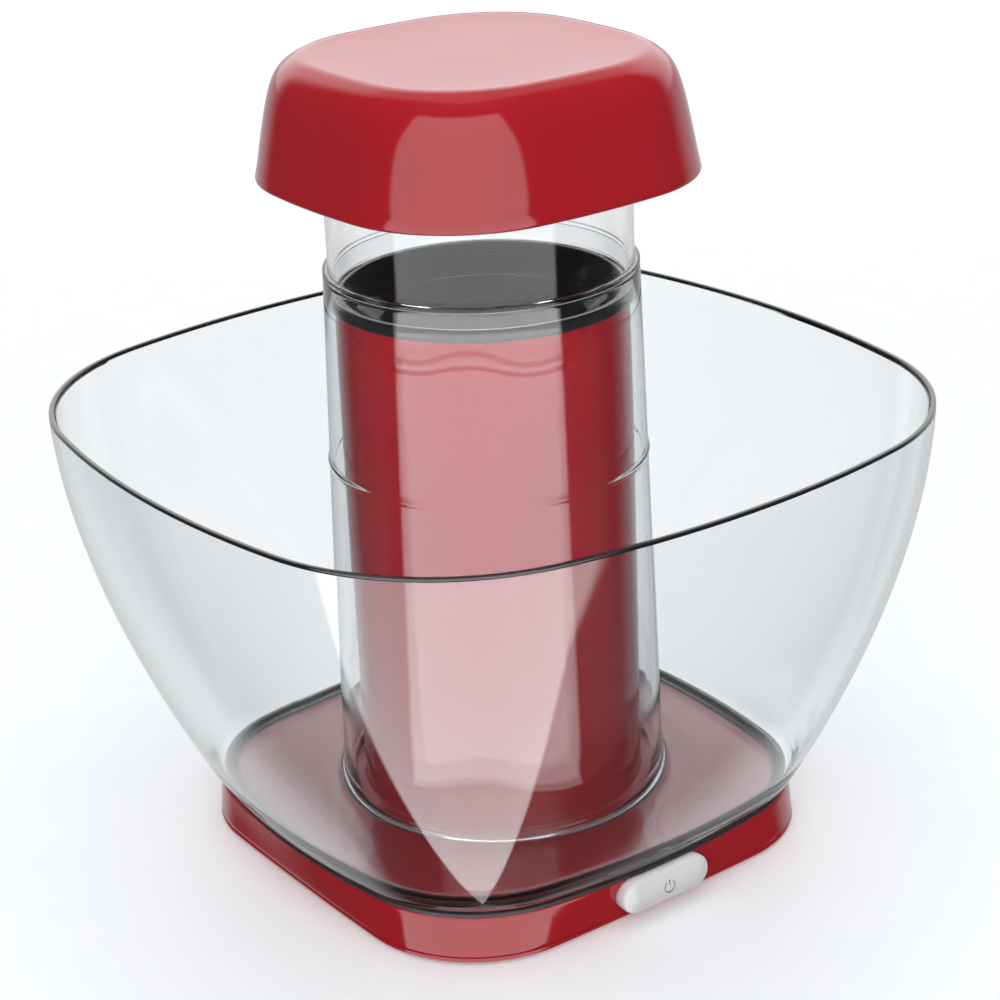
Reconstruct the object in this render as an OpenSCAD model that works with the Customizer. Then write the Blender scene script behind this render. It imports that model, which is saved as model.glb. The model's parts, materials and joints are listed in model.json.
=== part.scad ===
// Hot-air popcorn maker: a column on a low square base, a clear bowl around the column,
// a clear chimney on the bowl's sleeve and a lid over the chimney.
// The origin is on the floor under the middle of the column. +Z is up and the button faces -Y.

/* [Bowl] */
// Width of the bowl across its rim
bowl_w = 270; // [266:1:274]
// Height of the bowl's rim above the floor
bowl_rim_z = 159.6; // [157:0.1:162]
// Corner radius at the rim
bowl_corner = 79; // [70:1:85]
// Radius of the gently bulging sides at the rim
bowl_side = 342; // [320:1:380]
// Thickness of the bowl's wall and floor
bowl_wall = 2.4; // [2.2:0.1:2.6]
// How strongly the wall curves between the floor and the rim
bowl_belly = 1.75; // [1.5:0.05:2]
// Height of the black trim on the rim
trim_h = 1.2; // [1:0.1:1.6]
// Width of the black trim across the rim
trim_w = 1.8; // [1.4:0.1:2.2]

/* [Base] */
// Width of the base at the bowl's seat
base_top_w = 181; // [179:1:183]
// Width of the base at its lower edge
base_foot_w = 175.4; // [174:0.1:177]
// Height of the base shell's top above the floor
deck_z = 17.1; // [16.8:0.1:17.4]
// Thickness of the base shell
base_wall = 2.4; // [2.2:0.1:2.6]
// Thickness of the gasket under the bowl
gasket_t = 1.5; // [1.2:0.1:1.8]
// Thickness of the bottom cover
cover_t = 1.6; // [1.4:0.1:1.8]
// How far the feet stand out below the cover
foot_out = 1; // [0.8:0.1:1.2]

/* [Column] */
// Diameter of the column
column_d = 100; // [99:0.1:100]
// Height of the column's top edge
column_top_z = 197; // [196:0.5:198]
// Thickness of the column's wall
column_wall = 2.2; // [2:0.1:2.4]
// Diameter of the collar on the column
collar_d = 102.8; // [102.4:0.1:103]
// Height of the collar's top
collar_top_z = 200.5; // [200:0.1:201]

/* [Chimney and sleeve] */
// Height of the top of the bowl's centre sleeve
sleeve_top_z = 207; // [206:0.1:208]
// Outer diameter of the chimney
chimney_d = 102.4; // [102:0.1:102.6]
// Height of the chimney's top edge
chimney_top_z = 252.5; // [250:0.5:254]

/* [Lid] */
// Width of the lid across its lower edge
lid_w = 133; // [131:0.2:134]
// Height of the lid's lower edge
lid_skirt_z = 238.7; // [238:0.1:240]
// Height of the lid's top
lid_top_z = 279.2; // [278:0.1:281]
// Thickness of the lid
lid_wall = 2.2; // [2:0.1:2.4]

/* [Button] */
// Length of the button
button_l = 37; // [34:1:38]
// Height of the button
button_h = 12.2; // [11.8:0.1:12.2]
// How far the button moves when it is pressed
button_travel = 2.5; // [2:0.1:3]
// How far the button stands out from the base
button_out = 4.4; // [3.5:0.1:5]
// Sideways place of the button's middle
button_x = -1.5; // [-3:0.5:3]

/* [Motor and fan] */
// Diameter of the motor's can
motor_d = 37; // [35:1:38]
// Diameter of the motor's shaft
shaft_d = 3.2; // [3:0.1:3.4]
// Diameter of the fan
fan_d = 74; // [70:1:76]
// Number of fan blades
fan_blades = 12; // [9:1:16]

/* [Heater] */
// Turns of the heater coil
coil_turns = 4; // [3:1:4]
// Radius that the coil is wound to
coil_r = 34; // [32:1:35]
// Thickness of the heater wire
coil_wire_d = 1.3; // [1.1:0.1:1.4]

/* [Hidden] */
$fn = 64;
eps = 0.01;
fit_gap = 0.3;

// Rounded-square outlines: steps along each side and each corner, and levels up a wall
side_steps = 4;
corner_steps = 7;
ring_points = 4 * (side_steps + corner_steps);
bowl_levels = 9;
lid_levels = 7;

// Base
cover_z = foot_out;
shell_z = cover_z + cover_t;
seat_z = deck_z + gasket_t;
base_top_corner = 49.2;
base_top_side = 276;
base_foot_corner = 44.2;
base_foot_side = 1360;
gasket_w = 6;
ceiling_z = deck_z - base_wall;
deck_hole_r = 38;
cover_screw_at = [70, 38];
foot_at = 64;
foot_r = 8;
vent_r = 36;
vent_pitch = 6;
vent_w = 3;

// Column, collar and popping chamber
column_r = column_d / 2;
column_bore_r = column_r - column_wall;
column_flange_r = 55;
column_flange_t = 2.2;
column_boss_r = 44.4;
collar_r = collar_d / 2;
collar_edge = 1.6;
mouth_r = 47.4;
funnel_r = 46;
funnel_z = 188.5;
throat_r = 40.2;
chamber_r = 41;
chamber_t = 1.2;
chamber_floor_z = 134;
chamber_lip_r = 45.4;
chamber_lip_z = 181.6;
chamber_screw_r = 43.3;
slot_count = 20;

// Bowl sleeve and chimney
bowl_half = bowl_w / 2;
bowl_lean = 0.04;
sleeve_top_r = 51.8;
sleeve_top_wall = 1.2;
sleeve_foot_r = 55.6;
sleeve_bead_z = 141;
sleeve_bead = 0.5;
chimney_r = chimney_d / 2;
chimney_wall = 1.8;
chimney_foot_z = collar_top_z + 0.5;
chimney_bead_r = sleeve_top_r + sleeve_top_wall;
chimney_bead_t = 1.6;

// Lid
lid_half = lid_w / 2;
lid_shoulder = [60.8, lid_top_z - 4.2];
lid_tight = 2;
lid_plateau = 52;
lid_corner = 46;
lid_top_corner = 38;
lid_side = 248;
lid_dish = 0.7;
rib_t = 2;

// Motor stack, from the floor up
board_z = 17.4;
board_t = 1.6;
motor_cap_z = 21;
motor_can_z = 27;
bracket_z = 64;
bracket_t = 1.6;
bracket_screw_r = 43.2;
motor_screw_r = 11;
motor_boss_r = 6.4;
motor_boss_h = 3;
motor_r = motor_d / 2;
can_wall = 1.4;
bush_r = 3.1;
shaft_r = shaft_d / 2;
running_gap = 0.05;
fan_z = 76;
fan_h = 17;
fan_r = fan_d / 2;
housing_r = 44.8;
housing_wall = 1.8;
housing_top_z = 100;
inlet_z = 73;

// Heater
shield_r = 44.9;
shield_wall = 0.8;
shield_top_z = 178.5;
mica_t = 1.2;
mica_h = 26;
mica_half = 42;
coil_z = housing_top_z + 3;
coil_pitch = 5;
coil_steps = 24;
wire_sides = 8;
wire_reference = [0.36, 0.28, 0.21];

// Switch, terminal block, leads and gland
button_z = deck_z - 0.25 - button_h / 2;
button_face_y = -(base_top_w / 2 + button_out);
button_back_y = -84.8;
switch_front_y = -76;
switch_size = [18, 18, 8.6];
switch_ear = 13.5;
plunger_r = 2.2;
terminal_size = [26, 14, 9];
terminal_y = 66;
lead_r = 1.1;
lead_lane_r = 46.3;
gland_z = 9;
gland_r = 5.8;
gland_neck_r = 4.6;
gland_bore_r = 3.4;
gland_y = 92;

// Half width of the base's outside at height z
function base_half(z) =
    let (t = (z - cover_z) / (deck_z - cover_z))
    (base_foot_w + (base_top_w - base_foot_w) * t) / 2;
function base_corner(z) =
    let (t = (z - cover_z) / (deck_z - cover_z))
    base_foot_corner + (base_top_corner - base_foot_corner) * t;
function base_side(z) =
    let (t = (z - cover_z) / (deck_z - cover_z))
    1 / ((1 - t) / base_foot_side + t / base_top_side);

// Centre of a corner's arc, on the diagonal, for a side arc tangent to it
function corner_centre(half, corner, side) =
    let (k = side - half)
    (sqrt(2 * pow(side - corner, 2) - k * k) - k) / 2;

// How far an outline reaches along its diagonal
function diagonal(half, corner, side) = corner_centre(half, corner, side) * sqrt(2) + corner;

// One side and one corner of the rounded square
function quarter(half, corner, side) =
    let (k = side - half, c = corner_centre(half, corner, side), turn = atan2(c, c + k))
    concat(
        [for (i = [0:side_steps]) let (t = -turn + 2 * turn * i / side_steps)
            [side * cos(t) - k, side * sin(t)]],
        [for (i = [1:corner_steps - 1]) let (t = turn + (90 - 2 * turn) * i / corner_steps)
            [c + corner * cos(t), c + corner * sin(t)]]
    );

function turned(points, angle) =
    [for (p = points) [p.x * cos(angle) - p.y * sin(angle), p.x * sin(angle) + p.y * cos(angle)]];

// A whole rounded square with bulging sides
function outline(half, corner, side) =
    [for (q = [0:3]) each turned(quarter(half, corner, side), 90 * q)];

// Closed skin over rings of count points each, one ring after another, capped at both ends
module skin(points, count) {
    last = len(points) - count;
    polyhedron(
        points = points,
        faces = concat(
            [[for (i = [0:count - 1]) i]],
            [[for (i = [count - 1:-1:0]) last + i]],
            [for (a = [0:count:last - count], i = [0:count - 1])
                let (n = (i + 1) % count) [a + i, a + count + i, a + count + n]],
            [for (a = [0:count:last - count], i = [0:count - 1])
                let (n = (i + 1) % count) [a + i, a + count + n, a + n]]
        ),
        convexity = 8
    );
}

// Skin through rounded squares [half, corner, side, z]
module loft(rings) {
    skin([for (r = rings) each [for (p = outline(r[0], r[1], r[2])) [p.x, p.y, r[3]]]],
         ring_points);
}

// Flat plate with the base's outline at height z, moved in by inset
module base_plate(z, inset, t) {
    linear_extrude(t)
        polygon(outline(base_half(z) - inset, base_corner(z) - inset, base_side(z) - inset));
}

// Ring [half, corner, side, z] of the base's outside, moved in by inset
function base_ring(z, inset) =
    [base_half(z) - inset, base_corner(z) - inset, base_side(z) - inset, z];

// Ring of the bowl's wall at height z, moved in by inset
function bowl_ring(z, inset) =
    let (t = (z - deck_z) / (bowl_rim_z - deck_z),
         s = bowl_lean * t + (1 - bowl_lean) * (1 - pow(1 - t, bowl_belly)),
         foot = base_top_w / 2)
    [foot + (bowl_half - foot) * s - inset,
     base_top_corner + (bowl_corner - base_top_corner) * s - inset,
     base_top_side + (bowl_side - base_top_side) * s - inset, z];

// Outer radius of the bowl's sleeve at height z
function sleeve_out(z) =
    let (t = (z - seat_z) / (sleeve_top_z - seat_z))
    (sleeve_foot_r + bowl_wall) * (1 - t) + (sleeve_top_r + sleeve_top_wall) * t;

// Height or half width along the lid's side, a conic that lid_tight pulls towards its shoulder
function lid_curve(t, foot, shoulder, top) =
    let (a = pow(1 - t, 2), b = 2 * t * (1 - t) * lid_tight, c = t * t)
    (a * foot + b * shoulder + c * top) / (a + b + c);

// Ring of the lid's side, t = 0 at the skirt and 1 at the top, moved in by inset
function lid_ring(t, inset) =
    [lid_curve(t, lid_half, lid_shoulder[0], lid_plateau) - inset,
     lid_corner + (lid_top_corner - lid_corner) * t - inset,
     lid_side - inset,
     lid_curve(t, lid_skirt_z, lid_shoulder[1], lid_top_z) - inset * t];

module ring(outer, inner, h) {
    difference() {
        cylinder(h = h, r = outer);
        translate([0, 0, -1]) cylinder(h = h + 2, r = inner);
    }
}

module at_angles(list, radius) {
    for (angle = list) rotate(angle) translate([radius, 0, 0]) children();
}

// Pan-head screw with a cross slot: head at the bottom, shank pointing up
module screw(shank_r, shank_l, head_r, head_h) {
    difference() {
        union() {
            cylinder(h = head_h, r = head_r);
            cylinder(h = head_h + shank_l, r = shank_r);
        }
        for (angle = [0, 90]) {
            rotate(angle)
                translate([-head_r * 0.6, -0.3, -eps])
                    cube([head_r * 1.2, 0.6, head_h * 0.5]);
        }
    }
}

function unit(v) = v / norm(v);

// Direction of a path at its point i
function heading(path, i) =
    unit((i < len(path) - 1 ? unit(path[i + 1] - path[i]) : [0, 0, 0])
       + (i > 0 ? unit(path[i] - path[i - 1]) : [0, 0, 0]));

// Wire of wire_sides flats through a list of points
module wire(path, radius) {
    skin([for (i = [0:len(path) - 1])
              let (along = heading(path, i), across = unit(cross(wire_reference, along)),
                   up = cross(along, across))
              for (s = [0:wire_sides - 1])
                  let (turn = 360 * s / wire_sides)
                  path[i] + radius * (across * cos(turn) + up * sin(turn))],
         wire_sides);
}

// Pill outline, long way along X
module pill(length, height) {
    square([length - height, height], center = true);
    for (s = [-1, 1]) translate([s * (length - height) / 2, 0]) circle(d = height);
}

// Pill-shaped block that runs along Y from y0 to y1 at the button's place
module button_block(length, height, y0, y1) {
    translate([button_x, y1, button_z])
        rotate([90, 0, 0])
            linear_extrude(y1 - y0) pill(length, height);
}

module cover_screw_places() {
    for (x = [-1, 1], y = [-1, 1])
        translate([x * cover_screw_at[0], y * cover_screw_at[1], 0]) children();
}

module base_shell() {
    color("firebrick")
    difference() {
        union() {
            loft([
                base_ring(ceiling_z, base_wall), base_ring(shell_z, base_wall),
                base_ring(shell_z, 0), base_ring(ceiling_z, 0),
                base_ring(deck_z - 0.8, 0.1), base_ring(deck_z, 0.8)
            ]);
            cover_screw_places()
                translate([0, 0, shell_z + 1.6]) cylinder(h = ceiling_z - shell_z - 1.5, r = 4);
        }
        translate([0, 0, ceiling_z - 1]) cylinder(h = base_wall + 2, r = deck_hole_r);
        at_angles([45, 135, 225, 315], column_boss_r)
            translate([0, 0, ceiling_z - 1]) cylinder(h = base_wall + 2, r = 1.8);
        cover_screw_places()
            translate([0, 0, shell_z]) cylinder(h = 9, r = 1.3);
        button_block(button_l + 2 * fit_gap, button_h + 2 * fit_gap, -base_top_w, button_back_y);
        for (x = [-1, 1])
            translate([button_x + x * switch_ear, switch_front_y + switch_size.y / 2, ceiling_z - 1])
                cylinder(h = 2.4, r = 1);
        for (x = [-1, 1])
            translate([x * 9, terminal_y, ceiling_z - 1]) cylinder(h = 2.4, r = 1);
        translate([0, base_half(gland_z) + 10, gland_z])
            rotate([90, 0, 0]) cylinder(h = 10.6, r = gland_r);
        translate([0, base_top_w / 2, gland_z])
            rotate([90, 0, 0]) cylinder(h = 10, r = gland_neck_r);
        at_angles([0, 180], lead_lane_r)
            translate([0, 0, ceiling_z - 1]) cylinder(h = base_wall + 2, r = lead_r + 0.5);
    }
}

module bottom_cover() {
    color("firebrick")
    difference() {
        union() {
            translate([0, 0, cover_z]) base_plate(cover_z + cover_t / 2, 0, cover_t);
            translate([0, 0, shell_z])
                difference() {
                    base_plate(shell_z, base_wall + 0.2, 1.1);
                    translate([0, 0, -1]) base_plate(shell_z, base_wall + 1.8, 4);
                }
        }
        cover_screw_places() {
            translate([0, 0, cover_z - 1]) cylinder(h = 1.9, r = 3.2);
            translate([0, 0, cover_z - 1]) cylinder(h = cover_t + 2, r = 1.5);
        }
        for (x = [-1, 1], y = [-1, 1])
            translate([x * foot_at, y * foot_at, cover_z - 1]) cylinder(h = 1.6, r = foot_r);
        for (i = [-5:5]) {
            half = sqrt(pow(vent_r, 2) - pow(i * vent_pitch, 2));
            translate([-half, i * vent_pitch - vent_w / 2, cover_z - 1])
                cube([2 * half, vent_w, cover_t + 2]);
        }
    }
}

module rubber_feet() {
    color("dimgray")
    for (x = [-1, 1], y = [-1, 1])
        translate([x * foot_at, y * foot_at, 0])
            rotate_extrude()
                polygon([[0, 0], [foot_r - 1.4, 0], [foot_r - 0.4, foot_out],
                         [foot_r - 0.4, foot_out + 0.6], [0, foot_out + 0.6]]);
}

module cover_screws() {
    color("silver")
    cover_screw_places()
        translate([0, 0, cover_z - 0.3]) screw(1.3, 8, 2.8, 1.2);
}

module seat_gasket() {
    color("black")
    translate([0, 0, deck_z])
        linear_extrude(gasket_t)
            difference() {
                polygon(outline(base_top_w / 2 + 0.2, base_top_corner, base_top_side));
                polygon(outline(base_top_w / 2 - gasket_w, base_top_corner - gasket_w,
                                base_top_side - gasket_w));
            }
}

module column_housing() {
    color("firebrick")
    difference() {
        union() {
            translate([0, 0, deck_z]) ring(column_r, column_bore_r, column_top_z - deck_z);
            translate([0, 0, deck_z]) ring(column_flange_r, column_bore_r, column_flange_t);
            intersection() {
                at_angles([45, 135, 225, 315], column_boss_r)
                    translate([0, 0, deck_z]) cylinder(h = 14, r = 3.8);
                translate([0, 0, deck_z]) cylinder(h = 20, r = column_r - 0.5);
            }
            intersection() {
                at_angles([90, 210, 330], bracket_screw_r)
                    translate([0, 0, bracket_z - 22]) cylinder(h = 22, r = 5.2);
                translate([0, 0, bracket_z - 30]) cylinder(h = 40, r = column_r - 0.5);
            }
        }
        at_angles([45, 135, 225, 315], column_boss_r)
            translate([0, 0, deck_z - 1]) cylinder(h = 12, r = 1.3);
        at_angles([90, 210, 330], bracket_screw_r)
            translate([0, 0, bracket_z - 12]) cylinder(h = 13, r = 1.3);
    }
}

module column_screws() {
    color("silver")
    at_angles([45, 135, 225, 315], column_boss_r)
        translate([0, 0, ceiling_z - 1.6]) screw(1.3, base_wall + 9, 3, 1.6);
}

module chamber_collar() {
    color([0.06, 0.06, 0.07])
    difference() {
        rotate_extrude()
            union() {
                polygon([
                    [throat_r, chamber_lip_z], [column_bore_r - 0.2, chamber_lip_z],
                    [column_bore_r - 0.2, column_top_z], [collar_r, column_top_z],
                    [collar_r, collar_top_z - collar_edge], [collar_r - collar_edge, collar_top_z],
                    [mouth_r + 0.4, collar_top_z], [mouth_r, collar_top_z - 0.4],
                    [funnel_r, funnel_z], [throat_r, chamber_lip_z + 0.6]
                ]);
                translate([collar_r - collar_edge, collar_top_z - collar_edge])
                    circle(r = collar_edge);
            }
        at_angles([30, 150, 270], chamber_screw_r)
            translate([0, 0, chamber_lip_z - 1]) cylinder(h = 4.6, r = 0.9);
    }
}

module popping_chamber() {
    lip_z = chamber_lip_z;
    color([0.1, 0.1, 0.11])
    difference() {
        rotate_extrude()
            polygon([
                [0, chamber_floor_z + 6], [14, chamber_floor_z + 3], [29, chamber_floor_z],
                [35, chamber_floor_z + 2], [chamber_r, chamber_floor_z + 14],
                [chamber_r, lip_z - chamber_t], [chamber_lip_r, lip_z - chamber_t],
                [chamber_lip_r, lip_z], [chamber_r - chamber_t, lip_z],
                [chamber_r - chamber_t, chamber_floor_z + 14.4], [34.2, chamber_floor_z + 3.2],
                [29, chamber_floor_z + 1.3], [14, chamber_floor_z + 4.3],
                [0, chamber_floor_z + 7.3]
            ]);
        for (i = [0:slot_count - 1])
            rotate(i * 360 / slot_count)
                translate([chamber_r, 0, chamber_floor_z + 21])
                    rotate([35, 0, 0]) cube([6, 1.6, 9], center = true);
        at_angles([30, 150, 270], chamber_screw_r)
            translate([0, 0, lip_z - 3]) cylinder(h = 6, r = 1.2);
    }
}

module chamber_screws() {
    color("silver")
    at_angles([30, 150, 270], chamber_screw_r)
        translate([0, 0, chamber_lip_z - chamber_t - 1]) screw(0.9, 4.5, 1.7, 1);
}

module heat_shield() {
    color("gainsboro")
    difference() {
        translate([0, 0, housing_top_z])
            ring(shield_r, shield_r - shield_wall, shield_top_z - housing_top_z);
        for (angle = [0, 180])
            rotate(angle)
                translate([shield_r - 3, 0, coil_z])
                    rotate([0, 90, 0]) cylinder(h = 6, r = lead_r + 0.4);
    }
}

// Height of the coil's wire at an angle of so many turns
function coil_at(turns) = coil_z + 2 + coil_pitch * turns;

module heater_frame() {
    color("burlywood")
    difference() {
        for (angle = [0, 90])
            rotate(angle)
                translate([-mica_half, -mica_t / 2, housing_top_z])
                    cube([2 * mica_half, mica_t, mica_h]);
        for (i = [0:4 * coil_turns])
            rotate(90 * i)
                translate([coil_r, 0, coil_at(i / 4)])
                    cube([coil_wire_d + 1, 2 * mica_t, coil_wire_d + 1], center = true);
    }
}

module heater_coil() {
    color("slategray")
    wire([for (i = [0:coil_turns * coil_steps])
             let (turn = 360 * i / coil_steps)
             [coil_r * cos(turn), coil_r * sin(turn), coil_at(i / coil_steps)]],
         coil_wire_d / 2);
}

module thermostat() {
    color("gray")
    translate([16, 0, housing_top_z + 13])
        rotate([-90, 0, 0]) {
            translate([0, 0, mica_t / 2]) cylinder(h = 5, r = 6);
            translate([0, 0, mica_t / 2 + 5]) cylinder(h = 3, r = 4);
            for (s = [-1, 1])
                translate([s * 7 - 1.5, -1.5, mica_t / 2]) cube([3, 3, 1]);
        }
}

module thermal_fuse() {
    color("khaki")
    translate([-24, mica_t / 2 + 1.8, housing_top_z + 13])
        rotate([0, 90, 0]) {
            cylinder(h = 12, r = 1.8);
            translate([0, 0, -4]) cylinder(h = 20, r = 0.5);
        }
}

module fan_housing() {
    color([0.12, 0.12, 0.13])
    difference() {
        union() {
            translate([0, 0, bracket_z + bracket_t])
                ring(housing_r, housing_r - housing_wall, housing_top_z - bracket_z - bracket_t);
            translate([0, 0, inlet_z]) ring(housing_r - 0.5, 20, 1.6);
            translate([0, 0, bracket_z + bracket_t]) ring(housing_r, 39, 1.8);
        }
        at_angles([90, 210, 330], bracket_screw_r)
            translate([0, 0, bracket_z]) cylinder(h = inlet_z - bracket_z - 2, r = 3.2);
    }
}

module motor_bracket() {
    color("silver")
    translate([0, 0, bracket_z])
        difference() {
            cylinder(h = bracket_t, r = column_bore_r - 0.4);
            translate([0, 0, -1]) cylinder(h = bracket_t + 2, r = motor_boss_r + 0.1);
            at_angles([0, 180], motor_screw_r)
                translate([0, 0, -1]) cylinder(h = bracket_t + 2, r = 1.6);
            at_angles([90, 210, 330], bracket_screw_r)
                translate([0, 0, -1]) cylinder(h = bracket_t + 2, r = 1.6);
            at_angles([0, 180], lead_lane_r)
                translate([0, 0, -1]) cylinder(h = bracket_t + 2, r = lead_r + 0.5);
            for (angle = [0:60:300])
                rotate(angle + 8)
                    translate([0, 0, -1])
                        rotate_extrude(angle = 44) translate([20, 0]) square([17, bracket_t + 2]);
        }
}

module bracket_screws() {
    color("silver")
    at_angles([90, 210, 330], bracket_screw_r)
        translate([0, 0, bracket_z + bracket_t + 1.4])
            rotate([180, 0, 0]) screw(1.3, bracket_t + 9, 2.6, 1.4);
}

module motor_screws() {
    color("silver")
    at_angles([0, 180], motor_screw_r)
        translate([0, 0, bracket_z + bracket_t + 1.4])
            rotate([180, 0, 0]) screw(1.2, bracket_t + can_wall + 1.5, 2.4, 1.4);
}

module motor_can() {
    color("silver")
    difference() {
        union() {
            translate([0, 0, motor_can_z]) cylinder(h = bracket_z - motor_can_z, r = motor_r);
            translate([0, 0, bracket_z]) cylinder(h = motor_boss_h, r = motor_boss_r);
        }
        translate([0, 0, motor_can_z - 1])
            cylinder(h = bracket_z - motor_can_z - can_wall + 1, r = motor_r - can_wall);
        translate([0, 0, bracket_z - 5]) cylinder(h = 10, r = bush_r);
        at_angles([0, 180], motor_screw_r)
            translate([0, 0, bracket_z - 5]) cylinder(h = 6, r = 1.2);
    }
}

module motor_end_cap() {
    color("ivory")
    difference() {
        union() {
            translate([0, 0, motor_cap_z]) cylinder(h = motor_can_z - motor_cap_z, r = motor_r);
            translate([0, 0, motor_can_z]) ring(motor_r - can_wall, motor_r - can_wall - 1.6, 2);
            at_angles([90, 270], 12)
                translate([0, 0, board_z + board_t])
                    cylinder(h = motor_cap_z - board_z - board_t, r = 2);
        }
        translate([0, 0, motor_cap_z + 5]) cylinder(h = 5, r = motor_r - can_wall - 1.6);
        translate([0, 0, motor_cap_z + 1]) cylinder(h = 10, r = bush_r);
    }
}

module motor_bushes() {
    color("goldenrod")
    for (z = [motor_cap_z + 1, bracket_z + motor_boss_h - 4])
        translate([0, 0, z]) ring(bush_r, shaft_r + running_gap, 4);
}

module motor_magnets() {
    color("dimgray")
    for (angle = [30, 210])
        rotate(angle)
            translate([0, 0, motor_can_z + 7])
                rotate_extrude(angle = 120)
                    translate([motor_r - can_wall - 3.6, 0]) square([3.6, 24]);
}

module motor_brushes() {
    color("black")
    for (angle = [0, 180])
        rotate(angle)
            translate([4.8, -1.5, motor_can_z + 2.4]) cube([6, 3, 3]);
}

module motor_shaft() {
    color("silver")
    translate([0, 0, motor_cap_z + 1.6]) cylinder(h = 76, r = shaft_r);
}

module motor_armature() {
    core_r = motor_r - can_wall - 3.6 - 0.8;
    color("chocolate")
    translate([0, 0, motor_can_z + 8])
        difference() {
            cylinder(h = 22, r = core_r);
            translate([0, 0, -1]) cylinder(h = 24, r = shaft_r);
            for (angle = [0:72:288])
                rotate(angle)
                    translate([core_r - 5, -0.9, -1]) cube([8, 1.8, 24]);
        }
}

module motor_commutator() {
    color("peru")
    translate([0, 0, motor_can_z + 1])
        difference() {
            cylinder(h = 6, r = 4.5);
            translate([0, 0, -1]) cylinder(h = 8, r = shaft_r);
            for (angle = [0:72:288])
                rotate(angle) translate([3, -0.2, -1]) cube([4, 0.4, 8]);
        }
}

module fan() {
    blade_in = 15;
    color([0.15, 0.15, 0.16])
    difference() {
        union() {
            translate([0, 0, fan_z + fan_h - 1.6]) cylinder(h = 1.6, r = fan_r);
            translate([0, 0, fan_z]) cylinder(h = fan_h, r = 6);
            translate([0, 0, fan_z]) ring(fan_r, 22, 1.2);
            for (i = [0:fan_blades - 1])
                rotate(i * 360 / fan_blades)
                    translate([blade_in, 0, fan_z])
                        rotate(-24)
                            translate([0, -0.7, 0]) cube([fan_r - blade_in, 1.4, fan_h - 0.5]);
        }
        translate([0, 0, fan_z - 1]) cylinder(h = fan_h + 2, r = shaft_r);
    }
}

module fan_nut() {
    color("goldenrod")
    translate([0, 0, fan_z + fan_h])
        difference() {
            cylinder(h = 3, r = 3.4, $fn = 6);
            translate([0, 0, -1]) cylinder(h = 5, r = shaft_r);
        }
}

module rectifier_board() {
    color("darkgreen")
    translate([0, 0, board_z]) cylinder(h = board_t, r = 17);
}

module rectifier_diodes() {
    color([0.1, 0.1, 0.1])
    for (x = [-1, 1], y = [-1, 1])
        translate([x * 7 - 2.6, y * 5, board_z - 1.4])
            rotate([0, 90, 0])
                intersection() {
                    cylinder(h = 5.2, r = 1.4);
                    translate([0, 0, 2.6]) cube([2.8, 2.8, 6], center = true);
                }
}

module switch_body() {
    ear_t = 2;
    color([0.13, 0.13, 0.14])
    difference() {
        union() {
            translate([button_x - switch_size.x / 2, switch_front_y, ceiling_z - switch_size.z])
                cube(switch_size);
            translate([button_x - switch_ear - 3, switch_front_y + switch_size.y / 2 - 3,
                       ceiling_z - ear_t])
                cube([2 * switch_ear + 6, 6, ear_t]);
        }
        translate([button_x, switch_front_y + 8, button_z])
            rotate([90, 0, 0]) cylinder(h = 12, r = plunger_r + 0.06);
        for (x = [-1, 1])
            translate([button_x + x * switch_ear, switch_front_y + switch_size.y / 2, 0])
                cylinder(h = ceiling_z + 1, r = 1.3);
    }
}

module switch_screws() {
    color("silver")
    for (x = [-1, 1])
        translate([button_x + x * switch_ear, switch_front_y + switch_size.y / 2,
                   ceiling_z - 2 - 1.2])
            screw(1, 3.4, 2, 1.2);
}

module switch_plunger() {
    color("white")
    translate([button_x, switch_front_y + 2, button_z])
        rotate([90, 0, 0])
            cylinder(h = switch_front_y + 2 - button_back_y, r = plunger_r);
}

module power_button() {
    crown = 1;
    skin = 1.8;
    color([0.86, 0.87, 0.88])
    difference() {
        union() {
            button_block(button_l, button_h, button_face_y + crown, button_back_y - 3);
            button_block(button_l - 1.6, button_h - 1.6, button_face_y, button_face_y + crown + 1);
            translate([button_x, button_back_y, button_z])
                rotate([90, 0, 0]) cylinder(h = 6, r = 3.4);
        }
        difference() {
            button_block(button_l - 2 * skin, button_h - 2 * skin,
                         button_face_y + crown + skin, button_back_y + 1);
            translate([button_x, button_back_y + 1, button_z])
                rotate([90, 0, 0]) cylinder(h = 12, r = 3.4);
        }
    }
}

module terminal_block() {
    color("ivory")
    difference() {
        translate([-terminal_size.x / 2, terminal_y - terminal_size.y / 2,
                   ceiling_z - terminal_size.z])
            cube(terminal_size);
        for (x = [-1, 1])
            translate([x * 9, terminal_y, ceiling_z - 12]) cylinder(h = 14, r = 1.2);
        for (x = [-1, 0, 1])
            translate([x * 5, terminal_y, ceiling_z - terminal_size.z - 1])
                cylinder(h = 3, r = 1.7);
    }
}

module terminal_screws() {
    color("silver")
    for (x = [-1, 1])
        translate([x * 9, terminal_y, ceiling_z - terminal_size.z - 1.2])
            screw(1, terminal_size.z + 1.4, 2, 1.2);
}

module live_lead() {
    front = terminal_y - terminal_size.y / 2;
    color("saddlebrown")
    wire([[-5, front, 11], [-5, front - 6, 9], [-48, 40, 7], [-50, 0, 7], [-44, -40, 7],
          [button_x - 5, switch_front_y + switch_size.y + 6, 9],
          [button_x - 5, switch_front_y + switch_size.y, 9]], lead_r);
}

module heater_leads() {
    front = terminal_y - terminal_size.y / 2;
    switch_back = switch_front_y + switch_size.y;
    color("whitesmoke") {
        wire([[button_x + 5, switch_back, 9], [button_x + 5, switch_back + 6, 9],
              [40, -24, 8], [lead_lane_r, 0, 10], [lead_lane_r, 0, coil_z],
              [mica_half, 0, coil_z]], lead_r);
        wire([[5, front, 8], [5, front - 6, 7], [-34, 40, 11], [-42, 14, 10],
              [-lead_lane_r, 0, 11], [-lead_lane_r, 0, coil_z], [-mica_half, 0, coil_z]],
             lead_r);
    }
}

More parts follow.
